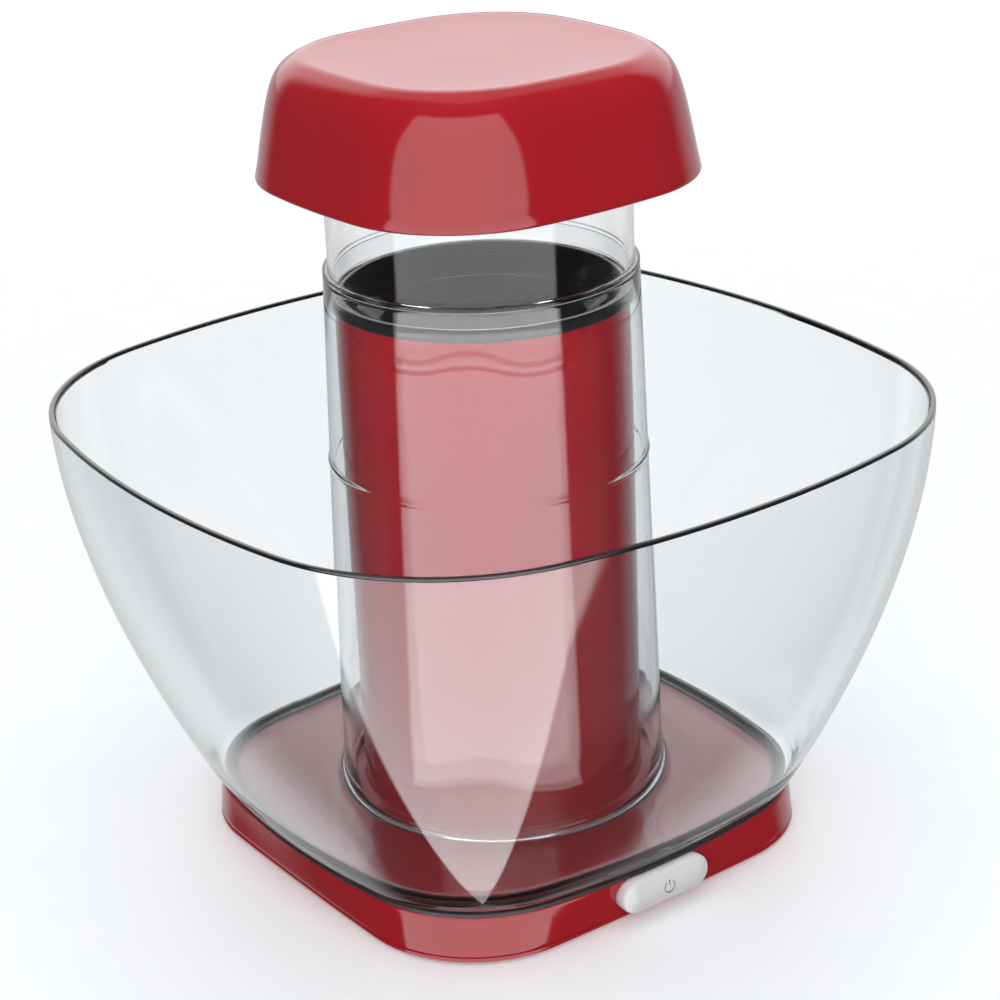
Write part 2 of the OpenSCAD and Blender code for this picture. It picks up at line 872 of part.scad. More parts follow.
module motor_leads() {
    front = terminal_y - terminal_size.y / 2;
    color("firebrick")
    for (x = [-1, 1])
        wire([[x * 9.5, 13, board_z], [x * 9.5, 13, board_z - 2], [x * 9.5, 16, 13],
              [x * 9.5, front, 11]], lead_r);
}

module cord_gland() {
    color([0.08, 0.08, 0.08])
    translate([0, gland_y, gland_z])
        rotate([90, 0, 0])
            difference() {
                union() {
                    cylinder(h = gland_y - base_half(gland_z) + 0.6, r = gland_r);
                    cylinder(h = 9, r = gland_neck_r);
                    translate([0, 0, gland_y - base_half(gland_z) + base_wall + 1.2])
                        cylinder(h = 1.4, r = gland_r - 0.6);
                }
                translate([0, 0, -1]) cylinder(h = 12, r = gland_bore_r);
            }
}

module bowl() {
    floor_z = seat_z + bowl_wall;
    span = bowl_rim_z - seat_z;
    inner_span = bowl_rim_z - floor_z;
    color([0.85, 0.9, 0.93, 0.35])
    difference() {
        union() {
            loft(concat(
                [for (i = [0:bowl_levels]) bowl_ring(seat_z + span * i / bowl_levels, 0)],
                [for (i = [bowl_levels:-1:0])
                    bowl_ring(floor_z + inner_span * i / bowl_levels, bowl_wall)]
            ));
            rotate_extrude()
                polygon([
                    [sleeve_foot_r - 2, seat_z], [sleeve_out(seat_z), seat_z],
                    [sleeve_out(sleeve_bead_z - 0.8), sleeve_bead_z - 0.8],
                    [sleeve_out(sleeve_bead_z) + sleeve_bead, sleeve_bead_z - 0.4],
                    [sleeve_out(sleeve_bead_z) + sleeve_bead, sleeve_bead_z + 0.4],
                    [sleeve_out(sleeve_bead_z + 0.8), sleeve_bead_z + 0.8],
                    [sleeve_out(sleeve_top_z), sleeve_top_z], [sleeve_top_r - 2, sleeve_top_z]
                ]);
        }
        rotate_extrude()
            polygon([[0, seat_z - 1], [sleeve_foot_r, seat_z - 1], [sleeve_foot_r, seat_z + 2],
                     [sleeve_top_r, sleeve_top_z - 12], [sleeve_top_r, sleeve_top_z + 1],
                     [0, sleeve_top_z + 1]]);
    }
}

module bowl_rim_trim() {
    color("black")
    translate([0, 0, bowl_rim_z])
        linear_extrude(trim_h)
            difference() {
                polygon(outline(bowl_half, bowl_corner, bowl_side));
                polygon(outline(bowl_half - trim_w, bowl_corner - trim_w, bowl_side - trim_w));
            }
}

module chimney() {
    color([0.85, 0.9, 0.93, 0.35])
    rotate_extrude()
        polygon([
            [chimney_r - chimney_wall, chimney_foot_z], [chimney_r, chimney_foot_z],
            [chimney_r, sleeve_top_z], [chimney_bead_r, sleeve_top_z],
            [chimney_bead_r, sleeve_top_z + chimney_bead_t],
            [chimney_r, sleeve_top_z + chimney_bead_t], [chimney_r, chimney_top_z],
            [chimney_r - chimney_wall, chimney_top_z]
        ]);
}

// Rib inside a lid corner, drawn as [radius, height]; its step stands on the chimney's top
module lid_rib() {
    low = lid_ring(0.07, lid_wall / 2);
    high = lid_ring(0.5, lid_wall / 2);
    rotate([90, 0, 0])
        translate([0, 0, -rib_t / 2])
            linear_extrude(rib_t)
                polygon([
                    [chimney_r + fit_gap, low[3]],
                    [diagonal(low[0], low[1], low[2]), low[3]],
                    [diagonal(high[0], high[1], high[2]), high[3]],
                    [chimney_r - 5, high[3]], [chimney_r - 5, chimney_top_z],
                    [chimney_r + fit_gap, chimney_top_z]
                ]);
}

module lid_shell() {
    color("firebrick")
    union() {
        loft(concat(
            [for (i = [lid_levels:-1:0]) lid_ring(i / lid_levels, lid_wall)],
            [for (i = [0:lid_levels]) lid_ring(i / lid_levels, 0)],
            [[lid_plateau - 8, lid_top_corner - 6, lid_side, lid_top_z - lid_dish * 0.7],
             [lid_plateau - 18, lid_top_corner - 12, lid_side, lid_top_z - lid_dish]]
        ));
        for (angle = [45, 135, 225, 315]) rotate(angle) lid_rib();
    }
}

base_shell();
bottom_cover();
rubber_feet();
cover_screws();
seat_gasket();
column_housing();
column_screws();
chamber_collar();
popping_chamber();
chamber_screws();
heat_shield();
heater_frame();
heater_coil();
thermostat();
thermal_fuse();
fan_housing();
motor_bracket();
bracket_screws();
motor_screws();
motor_can();
motor_end_cap();
motor_bushes();
motor_magnets();
motor_brushes();
motor_shaft();
motor_armature();
motor_commutator();
fan();
fan_nut();
rectifier_board();
rectifier_diodes();
switch_body();
switch_screws();
switch_plunger();
power_button();
terminal_block();
terminal_screws();
live_lead();
heater_leads();
motor_leads();
cord_gland();
bowl();
bowl_rim_trim();
chimney();
lid_shell();
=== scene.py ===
"""Looks for the hot-air popcorn maker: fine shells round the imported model, materials, light and camera.

All lengths are in metres in the model's frame: the origin is on the floor under the column, +Z is up and
the button faces -Y.
"""

import json
import math

import bmesh
import bpy
from mathutils import Matrix, Vector


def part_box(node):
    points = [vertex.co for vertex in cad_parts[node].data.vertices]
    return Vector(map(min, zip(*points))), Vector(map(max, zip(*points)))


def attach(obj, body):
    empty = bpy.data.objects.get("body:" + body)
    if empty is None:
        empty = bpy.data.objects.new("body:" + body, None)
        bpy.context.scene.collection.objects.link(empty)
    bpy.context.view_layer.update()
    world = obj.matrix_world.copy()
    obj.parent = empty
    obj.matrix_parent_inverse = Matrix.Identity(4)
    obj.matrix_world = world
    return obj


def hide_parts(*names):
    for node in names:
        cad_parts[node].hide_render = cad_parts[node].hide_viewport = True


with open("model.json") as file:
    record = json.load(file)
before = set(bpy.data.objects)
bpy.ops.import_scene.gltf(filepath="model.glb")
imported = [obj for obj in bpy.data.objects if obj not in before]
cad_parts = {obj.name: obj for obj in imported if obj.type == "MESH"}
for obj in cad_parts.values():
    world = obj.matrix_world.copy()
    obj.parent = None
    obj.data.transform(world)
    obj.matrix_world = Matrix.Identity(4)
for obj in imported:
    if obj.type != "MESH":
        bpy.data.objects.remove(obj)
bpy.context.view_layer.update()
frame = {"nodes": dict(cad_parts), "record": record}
MM = 0.001

# Sizes that the frame gives
SEAT_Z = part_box("bowl")[0].z
DECK_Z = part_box("base_shell")[1].z
SHELL_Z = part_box("base_shell")[0].z
COVER_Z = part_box("bottom_cover")[0].z
RIM_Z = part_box("bowl_rim_trim")[0].z
TRIM_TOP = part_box("bowl_rim_trim")[1].z
BOWL_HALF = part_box("bowl_rim_trim")[1].x
SLEEVE_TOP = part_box("bowl")[1].z
COLLAR_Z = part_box("column_housing")[1].z
COLLAR_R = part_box("chamber_collar")[1].x
CHIMNEY_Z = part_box("chimney")[0].z
CHIMNEY_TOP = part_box("chimney")[1].z
LID_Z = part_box("lid_shell")[0].z
LID_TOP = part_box("lid_shell")[1].z
LID_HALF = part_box("lid_shell")[1].x
BUTTON_LOW, BUTTON_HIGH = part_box("power_button")

# Sizes of the design that a box doesn't show
BASE_TOP = (90.5 * MM, 49.2 * MM, 276 * MM)
BASE_FOOT = (87.7 * MM, 44.2 * MM, 1360 * MM)
BASE_WALL = 2.4 * MM
GASKET_W = 6 * MM
BOWL_RIM = (BOWL_HALF, 79 * MM, 342 * MM)
BOWL_BELLY = 1.75
BOWL_LEAN = 0.04
BOWL_WALL = 2.4 * MM
TRIM_W = 1.8 * MM
SLEEVE_TOP_R = 51.8 * MM
SLEEVE_TOP_WALL = 1.2 * MM
SLEEVE_FOOT_R = 55.6 * MM
SLEEVE_BEAD_Z = 141 * MM
CHIMNEY_R = 51.2 * MM
CHIMNEY_WALL = 1.8 * MM
BEAD_R = SLEEVE_TOP_R + SLEEVE_TOP_WALL
BEAD_T = 1.6 * MM
LID_WALL = 2.2 * MM
LID_SHOULDER = (60.8 * MM, LID_TOP - 4.2 * MM)
LID_TIGHT = 2
LID_PLATEAU = 52 * MM
LID_CORNERS = (46 * MM, 38 * MM)
LID_SIDE = 248 * MM
LID_DISH = 0.7 * MM
RIB_T = 2 * MM
RIB_SPAN = (0.07, 0.5)
RIB_REACH = 5 * MM
FIT_GAP = 0.3 * MM
GLAND_Z = 9 * MM

# Fineness of the outlines and of the lathed pieces
SIDE_STEPS = 14
CORNER_STEPS = 20
ROUND_STEPS = 192


# ---------------------------------------------------------------- outlines

def corner_centre(half, corner, side):
    """Place on the diagonal of the centre of a corner arc that is tangent to the bulging sides."""
    k = side - half
    return (math.sqrt(2 * (side - corner) ** 2 - k * k) - k) / 2


def diagonal(half, corner, side):
    """How far an outline reaches towards its corners."""
    return corner_centre(half, corner, side) * math.sqrt(2) + corner


def outline(half, corner, side):
    """Rounded square with bulging sides, as (x, y) points anticlockwise."""
    k, c = side - half, corner_centre(half, corner, side)
    turn = math.atan2(c, c + k)
    points = []
    for i in range(SIDE_STEPS + 1):
        t = -turn + 2 * turn * i / SIDE_STEPS
        points.append((side * math.cos(t) - k, side * math.sin(t)))
    for i in range(1, CORNER_STEPS):
        t = turn + (math.pi / 2 - 2 * turn) * i / CORNER_STEPS
        points.append((c + corner * math.cos(t), c + corner * math.sin(t)))
    whole = []
    for quarter in range(4):
        cq, sq = round(math.cos(quarter * math.pi / 2)), round(math.sin(quarter * math.pi / 2))
        whole += [(x * cq - y * sq, x * sq + y * cq) for x, y in points]
    return whole


def inset(shape, d):
    """The same outline moved in by d."""
    half, corner, side = shape
    return half - d, corner - d, side - d


def mix(a, b, t):
    """Point, shape or colour at share t of the way from a to b."""
    return tuple(p + (q - p) * t for p, q in zip(a, b))


def sign(x):
    return 0 if abs(x) < 1e-6 else math.copysign(1, x)


def spaced(low, high, steps):
    """Evenly spaced values from low to high, both included."""
    return [low + (high - low) * i / steps for i in range(steps + 1)]


def ring(shape, z):
    """The outline's points at height z."""
    return [(x, y, z) for x, y in outline(*shape)]


def disc_ring(shape, radius, z):
    """Circle whose points lie in the same directions as the outline's."""
    points = []
    for x, y in outline(*shape):
        r = math.hypot(x, y)
        points.append((x * radius / r, y * radius / r, z))
    return points


def base_shape(z):
    """The base's outside at height z."""
    t = (z - COVER_Z) / (DECK_Z - COVER_Z)
    half, corner, _ = mix(BASE_FOOT, BASE_TOP, t)
    return half, corner, 1 / ((1 - t) / BASE_FOOT[2] + t / BASE_TOP[2])


def bowl_shape(z):
    """The bowl's outside at height z."""
    t = min(1.0, max(0.0, (z - DECK_Z) / (RIM_Z - DECK_Z)))
    s = BOWL_LEAN * t + (1 - BOWL_LEAN) * (1 - (1 - t) ** BOWL_BELLY)
    return mix(BASE_TOP, BOWL_RIM, s)


def sleeve_out(z):
    """Outer radius of the bowl's sleeve at height z."""
    t = (z - SEAT_Z) / (SLEEVE_TOP - SEAT_Z)
    return (SLEEVE_FOOT_R + BOWL_WALL) * (1 - t) + (SLEEVE_TOP_R + SLEEVE_TOP_WALL) * t


def lid_curve(t, foot, shoulder, top):
    """Height or half width along the lid's side, a conic pulled towards its shoulder."""
    a, b, c = (1 - t) ** 2, 2 * t * (1 - t) * LID_TIGHT, t * t
    return (a * foot + b * shoulder + c * top) / (a + b + c)


def lid_shape(t):
    """The lid's outside and its height, from t = 0 at the skirt to t = 1 at the top's edge."""
    half = lid_curve(t, LID_HALF, LID_SHOULDER[0], LID_PLATEAU)
    z = lid_curve(t, LID_Z, LID_SHOULDER[1], LID_TOP)
    corner = LID_CORNERS[0] + (LID_CORNERS[1] - LID_CORNERS[0]) * t
    return (half, corner, LID_SIDE), z


# ---------------------------------------------------------------- mesh tools

def new_object(name, verts, faces, sharp=30):
    """A mesh object, smooth except along edges sharper than the angle in degrees."""
    mesh = bpy.data.meshes.new(name)
    mesh.from_pydata([tuple(v) for v in verts], [], faces)
    mesh.validate()
    bm = bmesh.new()
    bm.from_mesh(mesh)
    bmesh.ops.recalc_face_normals(bm, faces=bm.faces)
    bm.to_mesh(mesh)
    bm.free()
    obj = bpy.data.objects.new(name, mesh)
    bpy.context.scene.collection.objects.link(obj)
    smooth(obj, sharp)
    return obj


def smooth(obj, sharp):
    """Smooth shading except along edges sharper than the angle in degrees."""
    obj.data.shade_smooth()
    obj.data.set_sharp_from_angle(angle=math.radians(sharp))


def skin(name, rings, closed=False, sharp=30):
    """Surface through rings of equal length, capped at both ends or closed on itself."""
    n = len(rings[0])
    verts = [p for r in rings for p in r]
    last = len(rings) if closed else len(rings) - 1
    faces = []
    for j in range(last):
        a, b = j * n, (j + 1) % len(rings) * n
        for i in range(n):
            k = (i + 1) % n
            faces.append((a + i, a + k, b + k, b + i))
    if not closed:
        faces.append(tuple(range(n)))
        faces.append(tuple(reversed(range(len(verts) - n, len(verts)))))
    return new_object(name, verts, faces, sharp)


def fillet(corners, radii, steps=6):
    """A closed 2-D profile with its corners rounded."""
    out = []
    count = len(corners)
    for i, (p, radius) in enumerate(zip(corners, radii)):
        p = Vector(p)
        if radius <= 0:
            out.append(tuple(p))
            continue
        before = (Vector(corners[i - 1]) - p).normalized()
        after = (Vector(corners[(i + 1) % count]) - p).normalized()
        half_angle = before.angle(after) / 2
        reach = radius / math.tan(half_angle)
        centre = p + (before + after).normalized() * (radius / math.sin(half_angle))
        a, b = p + before * reach - centre, p + after * reach - centre
        span = a.angle(b)
        for s in range(steps + 1):
            f = s / steps
            spot = (a * math.sin((1 - f) * span) + b * math.sin(f * span)) / math.sin(span)
            out.append(tuple(centre + spot))
    return out


def braced(profile, reach=0.4 * MM, long=4 * MM):
    """The closed profile with a point near both ends of its long sides, so that these shade flat."""
    points = []
    for i, start in enumerate(profile):
        a, b = Vector(start), Vector(profile[(i + 1) % len(profile)])
        points.append(tuple(a))
        if (b - a).length > long:
            step = (b - a).normalized() * reach
            points += [tuple(a + step), tuple(b - step)]
    return points


def lathe(name, profile, steps=ROUND_STEPS, sharp=30):
    """A closed (radius, height) profile turned about Z."""
    profile = braced(profile)
    n = len(profile)
    verts, faces = [], []
    for i in range(steps):
        a = 2 * math.pi * i / steps
        verts += [(r * math.cos(a), r * math.sin(a), z) for r, z in profile]
    for i in range(steps):
        a, b = i * n, (i + 1) % steps * n
        faces += [(a + j, b + j, b + (j + 1) % n, a + (j + 1) % n) for j in range(n)]
    return new_object(name, verts, faces, sharp)


def block(name, low, high):
    """Box-shaped cutter."""
    bm = bmesh.new()
    bmesh.ops.create_cube(bm, size=1)
    size, middle = Vector(high) - Vector(low), (Vector(high) + Vector(low)) / 2
    bmesh.ops.scale(bm, vec=size, verts=bm.verts)
    bmesh.ops.translate(bm, vec=middle, verts=bm.verts)
    return cutter(name, bm)


def drill(name, radius, start, end, steps=64):
    """Round cutter between two points."""
    start, end = Vector(start), Vector(end)
    along = end - start
    bm = bmesh.new()
    bmesh.ops.create_cone(bm, cap_ends=True, segments=steps, radius1=radius, radius2=radius,
                          depth=along.length)
    turn = along.to_track_quat("Z", "Y").to_matrix().to_4x4()
    bmesh.ops.transform(bm, matrix=Matrix.Translation((start + end) / 2) @ turn, verts=bm.verts)
    return cutter(name, bm)


def cutter(name, bm):
    """Object from a bmesh, to be cut out of a piece."""
    mesh = bpy.data.meshes.new(name)
    bm.to_mesh(mesh)
    bm.free()
    obj = bpy.data.objects.new(name, mesh)
    bpy.context.scene.collection.objects.link(obj)
    return obj


def cut(obj, cutters, sharp=30):
    """Takes the cutters out of obj and removes them."""
    for tool in cutters:
        modifier = obj.modifiers.new("cut", "BOOLEAN")
        modifier.operation = "DIFFERENCE"
        modifier.solver = "EXACT"
        modifier.object = tool
    settle(obj)
    for tool in cutters:
        bpy.data.objects.remove(tool)
    smooth(obj, sharp)


def settle(obj):
    """Applies every modifier."""
    graph = bpy.context.evaluated_depsgraph_get()
    mesh = bpy.data.meshes.new_from_object(obj.evaluated_get(graph))
    obj.modifiers.clear()
    obj.data = mesh


def pill(length, height, steps=24):
    """Pill outline in the XZ plane, long way along X, as (x, z) points."""
    points = []
    for side in (1, -1):
        for i in range(steps + 1):
            a = -math.pi / 2 + math.pi * i / steps
            x = (length - height) / 2 + height / 2 * math.cos(a)
            points.append((side * x, side * height / 2 * math.sin(a)))
    return points


def pill_ring(centre, length, height, y):
    """Pill outline round centre, an (x, z) point, at depth y."""
    return [(centre[0] + x, y, centre[1] + z) for x, z in pill(length, height)]


# ---------------------------------------------------------------- materials

def node_tree(name):
    """A new material and its empty node tree."""
    material = bpy.data.materials.new(name)
    material.use_nodes = True
    tree = material.node_tree
    tree.nodes.clear()
    return material, tree


def link(tree, source, target):
    tree.links.new(source, target)


def show(tree, shader):
    """Puts a shader on the material's output."""
    out = tree.nodes.new("ShaderNodeOutputMaterial")
    link(tree, shader, out.inputs["Surface"])


def choose(tree, amount, first, second):
    """Shader that turns from the first into the second as amount runs from 0 to 1."""
    node = tree.nodes.new("ShaderNodeMixShader")
    link(tree, amount, node.inputs["Fac"])
    link(tree, first, node.inputs[1])
    link(tree, second, node.inputs[2])
    return node.outputs["Shader"]


def noise(tree, scale, detail, stretch=(1, 1, 1)):
    """Noise in the object's own metres."""
    place = tree.nodes.new("ShaderNodeTexCoord")
    mapping = tree.nodes.new("ShaderNodeMapping")
    mapping.inputs["Scale"].default_value = stretch
    texture = tree.nodes.new("ShaderNodeTexNoise")
    texture.inputs["Scale"].default_value = scale
    texture.inputs["Detail"].default_value = detail
    link(tree, place.outputs["Object"], mapping.inputs["Vector"])
    link(tree, mapping.outputs["Vector"], texture.inputs["Vector"])
    return texture.outputs["Fac"]


def spread(tree, source, low, high):
    """Maps a noise value onto a range."""
    node = tree.nodes.new("ShaderNodeMapRange")
    node.inputs["From Min"].default_value = 0.3
    node.inputs["From Max"].default_value = 0.7
    node.inputs["To Min"].default_value = low
    node.inputs["To Max"].default_value = high
    link(tree, source, node.inputs["Value"])
    return node.outputs["Result"]


def shades(tree, source, dark, light):
    """Colour that varies between two shades with a noise value."""
    node = tree.nodes.new("ShaderNodeMix")
    node.data_type = "RGBA"
    node.inputs["A"].default_value = (*dark, 1)
    node.inputs["B"].default_value = (*light, 1)
    link(tree, spread(tree, source, 0, 1), node.inputs["Factor"])
    return node.outputs["Result"]


def scaled(colour, factor):
    """A colour made darker or lighter."""
    return tuple(min(1.0, c * factor) for c in colour)


def bump(tree, shader, source, height):
    """Roughens a shader's surface by a noise value; height is in metres."""
    node = tree.nodes.new("ShaderNodeBump")
    node.inputs["Strength"].default_value = 1.0
    node.inputs["Distance"].default_value = height
    link(tree, source, node.inputs["Height"])
    link(tree, node.outputs["Normal"], shader.inputs["Normal"])


def surface(name, colour, rough, grain, height, vary, **sockets):
    """Principled material with a little variation of colour, roughness and surface."""
    material, tree = node_tree(name)
    shader = tree.nodes.new("ShaderNodeBsdfPrincipled")
    show(tree, shader.outputs["BSDF"])
    for socket, value in sockets.items():
        shader.inputs[socket.replace("_", " ")].default_value = value
    cloud = noise(tree, 18.0, 4.0)
    link(tree, shades(tree, cloud, scaled(colour, 1 - vary), scaled(colour, 1 + vary)),
         shader.inputs["Base Color"])
    link(tree, spread(tree, noise(tree, 55.0, 5.0), rough * 0.85, rough * 1.15),
         shader.inputs["Roughness"])
    bump(tree, shader, noise(tree, grain, 2.0), height)
    return material


def clear_plastic(name, tint, rough, ior=1.49):
    """Clear moulded plastic that lets lamps through."""
    material, tree = node_tree(name)
    shader = tree.nodes.new("ShaderNodeBsdfPrincipled")
    shader.inputs["Base Color"].default_value = (*tint, 1)
    shader.inputs["Transmission Weight"].default_value = 1.0
    shader.inputs["IOR"].default_value = ior
    link(tree, spread(tree, noise(tree, 40.0, 4.0), rough * 0.6, rough * 1.4),
         shader.inputs["Roughness"])
    bump(tree, shader, noise(tree, 26.0, 1.0, (1, 1, 0.25)), 3e-6)
    lamp = tree.nodes.new("ShaderNodeBsdfTransparent")
    lamp.inputs["Color"].default_value = (0.93, 0.95, 0.96, 1)
    path = tree.nodes.new("ShaderNodeLightPath")
    show(tree, choose(tree, path.outputs["Is Shadow Ray"], shader.outputs["BSDF"],
                      lamp.outputs["BSDF"]))
    return material


def brushed(name, colour, rough, stretch):
    """Metal with fine lines across the stretched direction."""
    material, tree = node_tree(name)
    shader = tree.nodes.new("ShaderNodeBsdfPrincipled")
    show(tree, shader.outputs["BSDF"])
    shader.inputs["Metallic"].default_value = 1.0
    lines = noise(tree, 400.0, 2.0, stretch)
    link(tree, shades(tree, lines, scaled(colour, 0.88), scaled(colour, 1.06)),
         shader.inputs["Base Color"])
    link(tree, spread(tree, lines, rough * 0.75, rough * 1.3), shader.inputs["Roughness"])
    bump(tree, shader, lines, 6e-6)
    return material


def layered(name, dark, light, rough):
    """Mica or wound copper: streaks of two colours."""
    material, tree = node_tree(name)
    shader = tree.nodes.new("ShaderNodeBsdfPrincipled")
    show(tree, shader.outputs["BSDF"])
    shader.inputs["Roughness"].default_value = rough
    flakes = noise(tree, 120.0, 6.0, (1, 1, 5))
    link(tree, shades(tree, flakes, dark, light), shader.inputs["Base Color"])
    bump(tree, shader, flakes, 2e-5)
    return material


RED = (0.36, 0.010, 0.017)
MATERIALS = {
    "red_plastic": surface("red plastic", RED, 0.10, 700.0, 1e-6, 0.03),
    "black_plastic": surface("black plastic", (0.012, 0.010, 0.011), 0.09, 700.0, 1e-6, 0.1,
                             Coat_Weight=0.5, Coat_Roughness=0.04),
    "clear_plastic": clear_plastic("clear plastic", (0.955, 0.975, 0.985), 0.025),
    "thin_clear": clear_plastic("thin clear plastic", (0.99, 0.995, 0.998), 0.02, 1.36),
    "pale_plastic": surface("pale plastic", (0.70, 0.70, 0.69), 0.24, 600.0, 2e-6, 0.02,
                            Subsurface_Weight=0.25, Subsurface_Scale=0.004),
    "dark_plastic": surface("dark plastic", (0.03, 0.03, 0.034), 0.45, 1400.0, 1e-5, 0.12),
    "ivory_plastic": surface("ivory plastic", (0.62, 0.58, 0.47), 0.4, 1200.0, 6e-6, 0.05),
    "foot_rubber": surface("foot rubber", (0.035, 0.035, 0.036), 0.75, 1500.0, 2e-5, 0.2),
    "seal_rubber": surface("seal rubber", (0.012, 0.009, 0.010), 0.5, 1500.0, 6e-6, 0.2),
    "screw_steel": brushed("screw steel", (0.62, 0.61, 0.58), 0.3, (1, 1, 3)),
    "sheet_steel": brushed("sheet steel", (0.66, 0.67, 0.68), 0.34, (1, 8, 1)),
    "motor_steel": brushed("motor steel", (0.60, 0.60, 0.61), 0.25, (1, 1, 9)),
    "chamber_coating": surface("chamber coating", (0.012, 0.012, 0.013), 0.14, 900.0, 2e-6, 0.1,
                               Coat_Weight=0.3, Coat_Roughness=0.08),
    "mica": layered("mica", (0.36, 0.27, 0.15), (0.62, 0.52, 0.36), 0.35),
    "heater_wire": brushed("heater wire", (0.34, 0.31, 0.29), 0.45, (4, 4, 1)),
    "thermostat_metal": brushed("thermostat metal", (0.68, 0.68, 0.69), 0.3, (5, 1, 1)),
    "fuse_ceramic": surface("fuse ceramic", (0.62, 0.54, 0.34), 0.3, 900.0, 4e-6, 0.06),
    "bronze": brushed("bronze", (0.62, 0.42, 0.19), 0.38, (1, 1, 6)),
    "magnet": surface("magnet", (0.05, 0.05, 0.055), 0.5, 1000.0, 1e-5, 0.15, Metallic=0.6),
    "carbon": surface("carbon", (0.02, 0.02, 0.021), 0.5, 1500.0, 8e-6, 0.2),
    "circuit_board": surface("circuit board", (0.012, 0.11, 0.05), 0.35, 500.0, 6e-6, 0.2),
    "armature": layered("armature", (0.20, 0.19, 0.19), (0.50, 0.24, 0.11), 0.4),
    "brown_lead": surface("brown lead", (0.13, 0.055, 0.02), 0.42, 1200.0, 4e-6, 0.1),
    "white_lead": surface("white lead", (0.68, 0.68, 0.66), 0.42, 1200.0, 4e-6, 0.05),
    "red_lead": surface("red lead", (0.38, 0.02, 0.02), 0.42, 1200.0, 4e-6, 0.1),
}


def paint(obj, slot):
    """Gives an object one material in place of any others."""
    obj.data.materials.clear()
    obj.data.materials.append(MATERIALS[slot])


def piece(obj, slot, body, *nodes):
    """Gives a new piece its material, its body and the CAD nodes that it stands for."""
    paint(obj, slot)
    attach(obj, body)
    if nodes:
        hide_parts(*nodes)
    return obj


# ---------------------------------------------------------------- pieces

def rounded_wall(shape_at, low, high, edge, steps):
    """Rings up a wall, each (shape, z), rounded by edge at its low and high ends."""
    lower = [(inset(shape_at(low), edge * (1 - math.sin(a))), low + edge * (1 - math.cos(a)))
             for a in (0.0, 0.4, 0.8, 1.2)]
    middle = [(shape_at(z), z) for z in spaced(low, high, steps) if low + edge <= z <= high - edge]
    upper = [(inset(shape_at(high), edge * (1 - math.cos(a))), high - edge * (1 - math.sin(a)))
             for a in (0.37, 0.77, 1.17, math.pi / 2)]
    return lower + middle + upper


def make_lid():
    """Hollow lid with a leaning side, a tight shoulder and a slightly dished top."""
    rings = []
    steps = 30
    # ceiling inside, from its middle out, then down the inner wall
    for share in (0.15, 0.45, 0.8):
        shape, z = lid_shape(1.0)
        shape = inset(shape, LID_WALL)
        rings.append(ring(tuple(s * share for s in shape[:2]) + (LID_SIDE,), z - LID_WALL))
    for i in range(steps, 0, -1):
        t = i / steps
        shape, z = lid_shape(t)
        rings.append(ring(inset(shape, LID_WALL), z - LID_WALL * t))
    # lower edge, rounded
    shape, z = lid_shape(0.0)
    edge = LID_WALL / 2
    for i in range(9):
        a = math.pi * i / 8
        rings.append(ring(inset(shape, edge + edge * math.cos(a)), z + edge - edge * math.sin(a)))
    for i in range(1, steps + 1):
        shape, z = lid_shape(i / steps)
        if z > LID_Z + edge * 1.2:
            rings.append(ring(shape, z))
    # shoulder runs into a slightly dished top
    shape, z = lid_shape(1.0)
    for share in (0.95, 0.88, 0.8, 0.7, 0.55, 0.35, 0.12):
        dip = LID_DISH * (1 - ((share - 0.1) / 0.9) ** 3)
        rings.append(ring((shape[0] * share, shape[1] * share, LID_SIDE), z - dip))
    return piece(skin("lid", rings, sharp=50), "red_plastic", "lid", "lid_shell")


def make_lid_ribs():
    """Four ribs in the lid's corners; their steps stand on the chimney."""
    low, low_z = lid_shape(RIB_SPAN[0])
    high, high_z = lid_shape(RIB_SPAN[1])
    inner, step = CHIMNEY_R - RIB_REACH, CHIMNEY_R + FIT_GAP
    profile = [
        (step, low_z), (diagonal(*inset(low, LID_WALL / 2)), low_z),
        (diagonal(*inset(high, LID_WALL / 2)), high_z), (inner, high_z),
        (inner, CHIMNEY_TOP), (step, CHIMNEY_TOP),
    ]
    profile = fillet(profile, [0.6 * MM, 0, 0, 1.5 * MM, 0.5 * MM, 0])
    for i, angle in enumerate((45, 135, 225, 315)):
        a = math.radians(angle)
        along, across = Vector((math.cos(a), math.sin(a), 0)), Vector((-math.sin(a), math.cos(a), 0))
        sides = []
        for s in (-0.5, 0.5):
            sides.append([tuple(along * r + across * s * RIB_T + Vector((0, 0, z)))
                          for r, z in profile])
        piece(skin(f"lid_rib_{i + 1}", sides), "red_plastic", "lid")


def bowl_outside():
    """Rings from the bowl's underside round its lower edge and up to its rim."""
    edge, steps, under_r = 3.2 * MM, 44, SLEEVE_FOOT_R + 6 * MM
    under = bowl_shape(SEAT_Z)
    circle, wide = disc_ring(under, under_r, SEAT_Z), ring(inset(under, edge), SEAT_Z)
    rings = [circle]
    rings += [[mix(p, q, share) for p, q in zip(circle, wide)] for share in (0.35, 0.7)]
    for a in (0.0, 0.3, 0.6, 0.9, 1.2):
        z = SEAT_Z + edge * (1 - math.cos(a))
        rings.append(ring(inset(bowl_shape(z), edge * (1 - math.sin(a))), z))
    rings += [ring(bowl_shape(z), z) for z in spaced(SEAT_Z + edge, RIM_Z, steps)]
    return rings


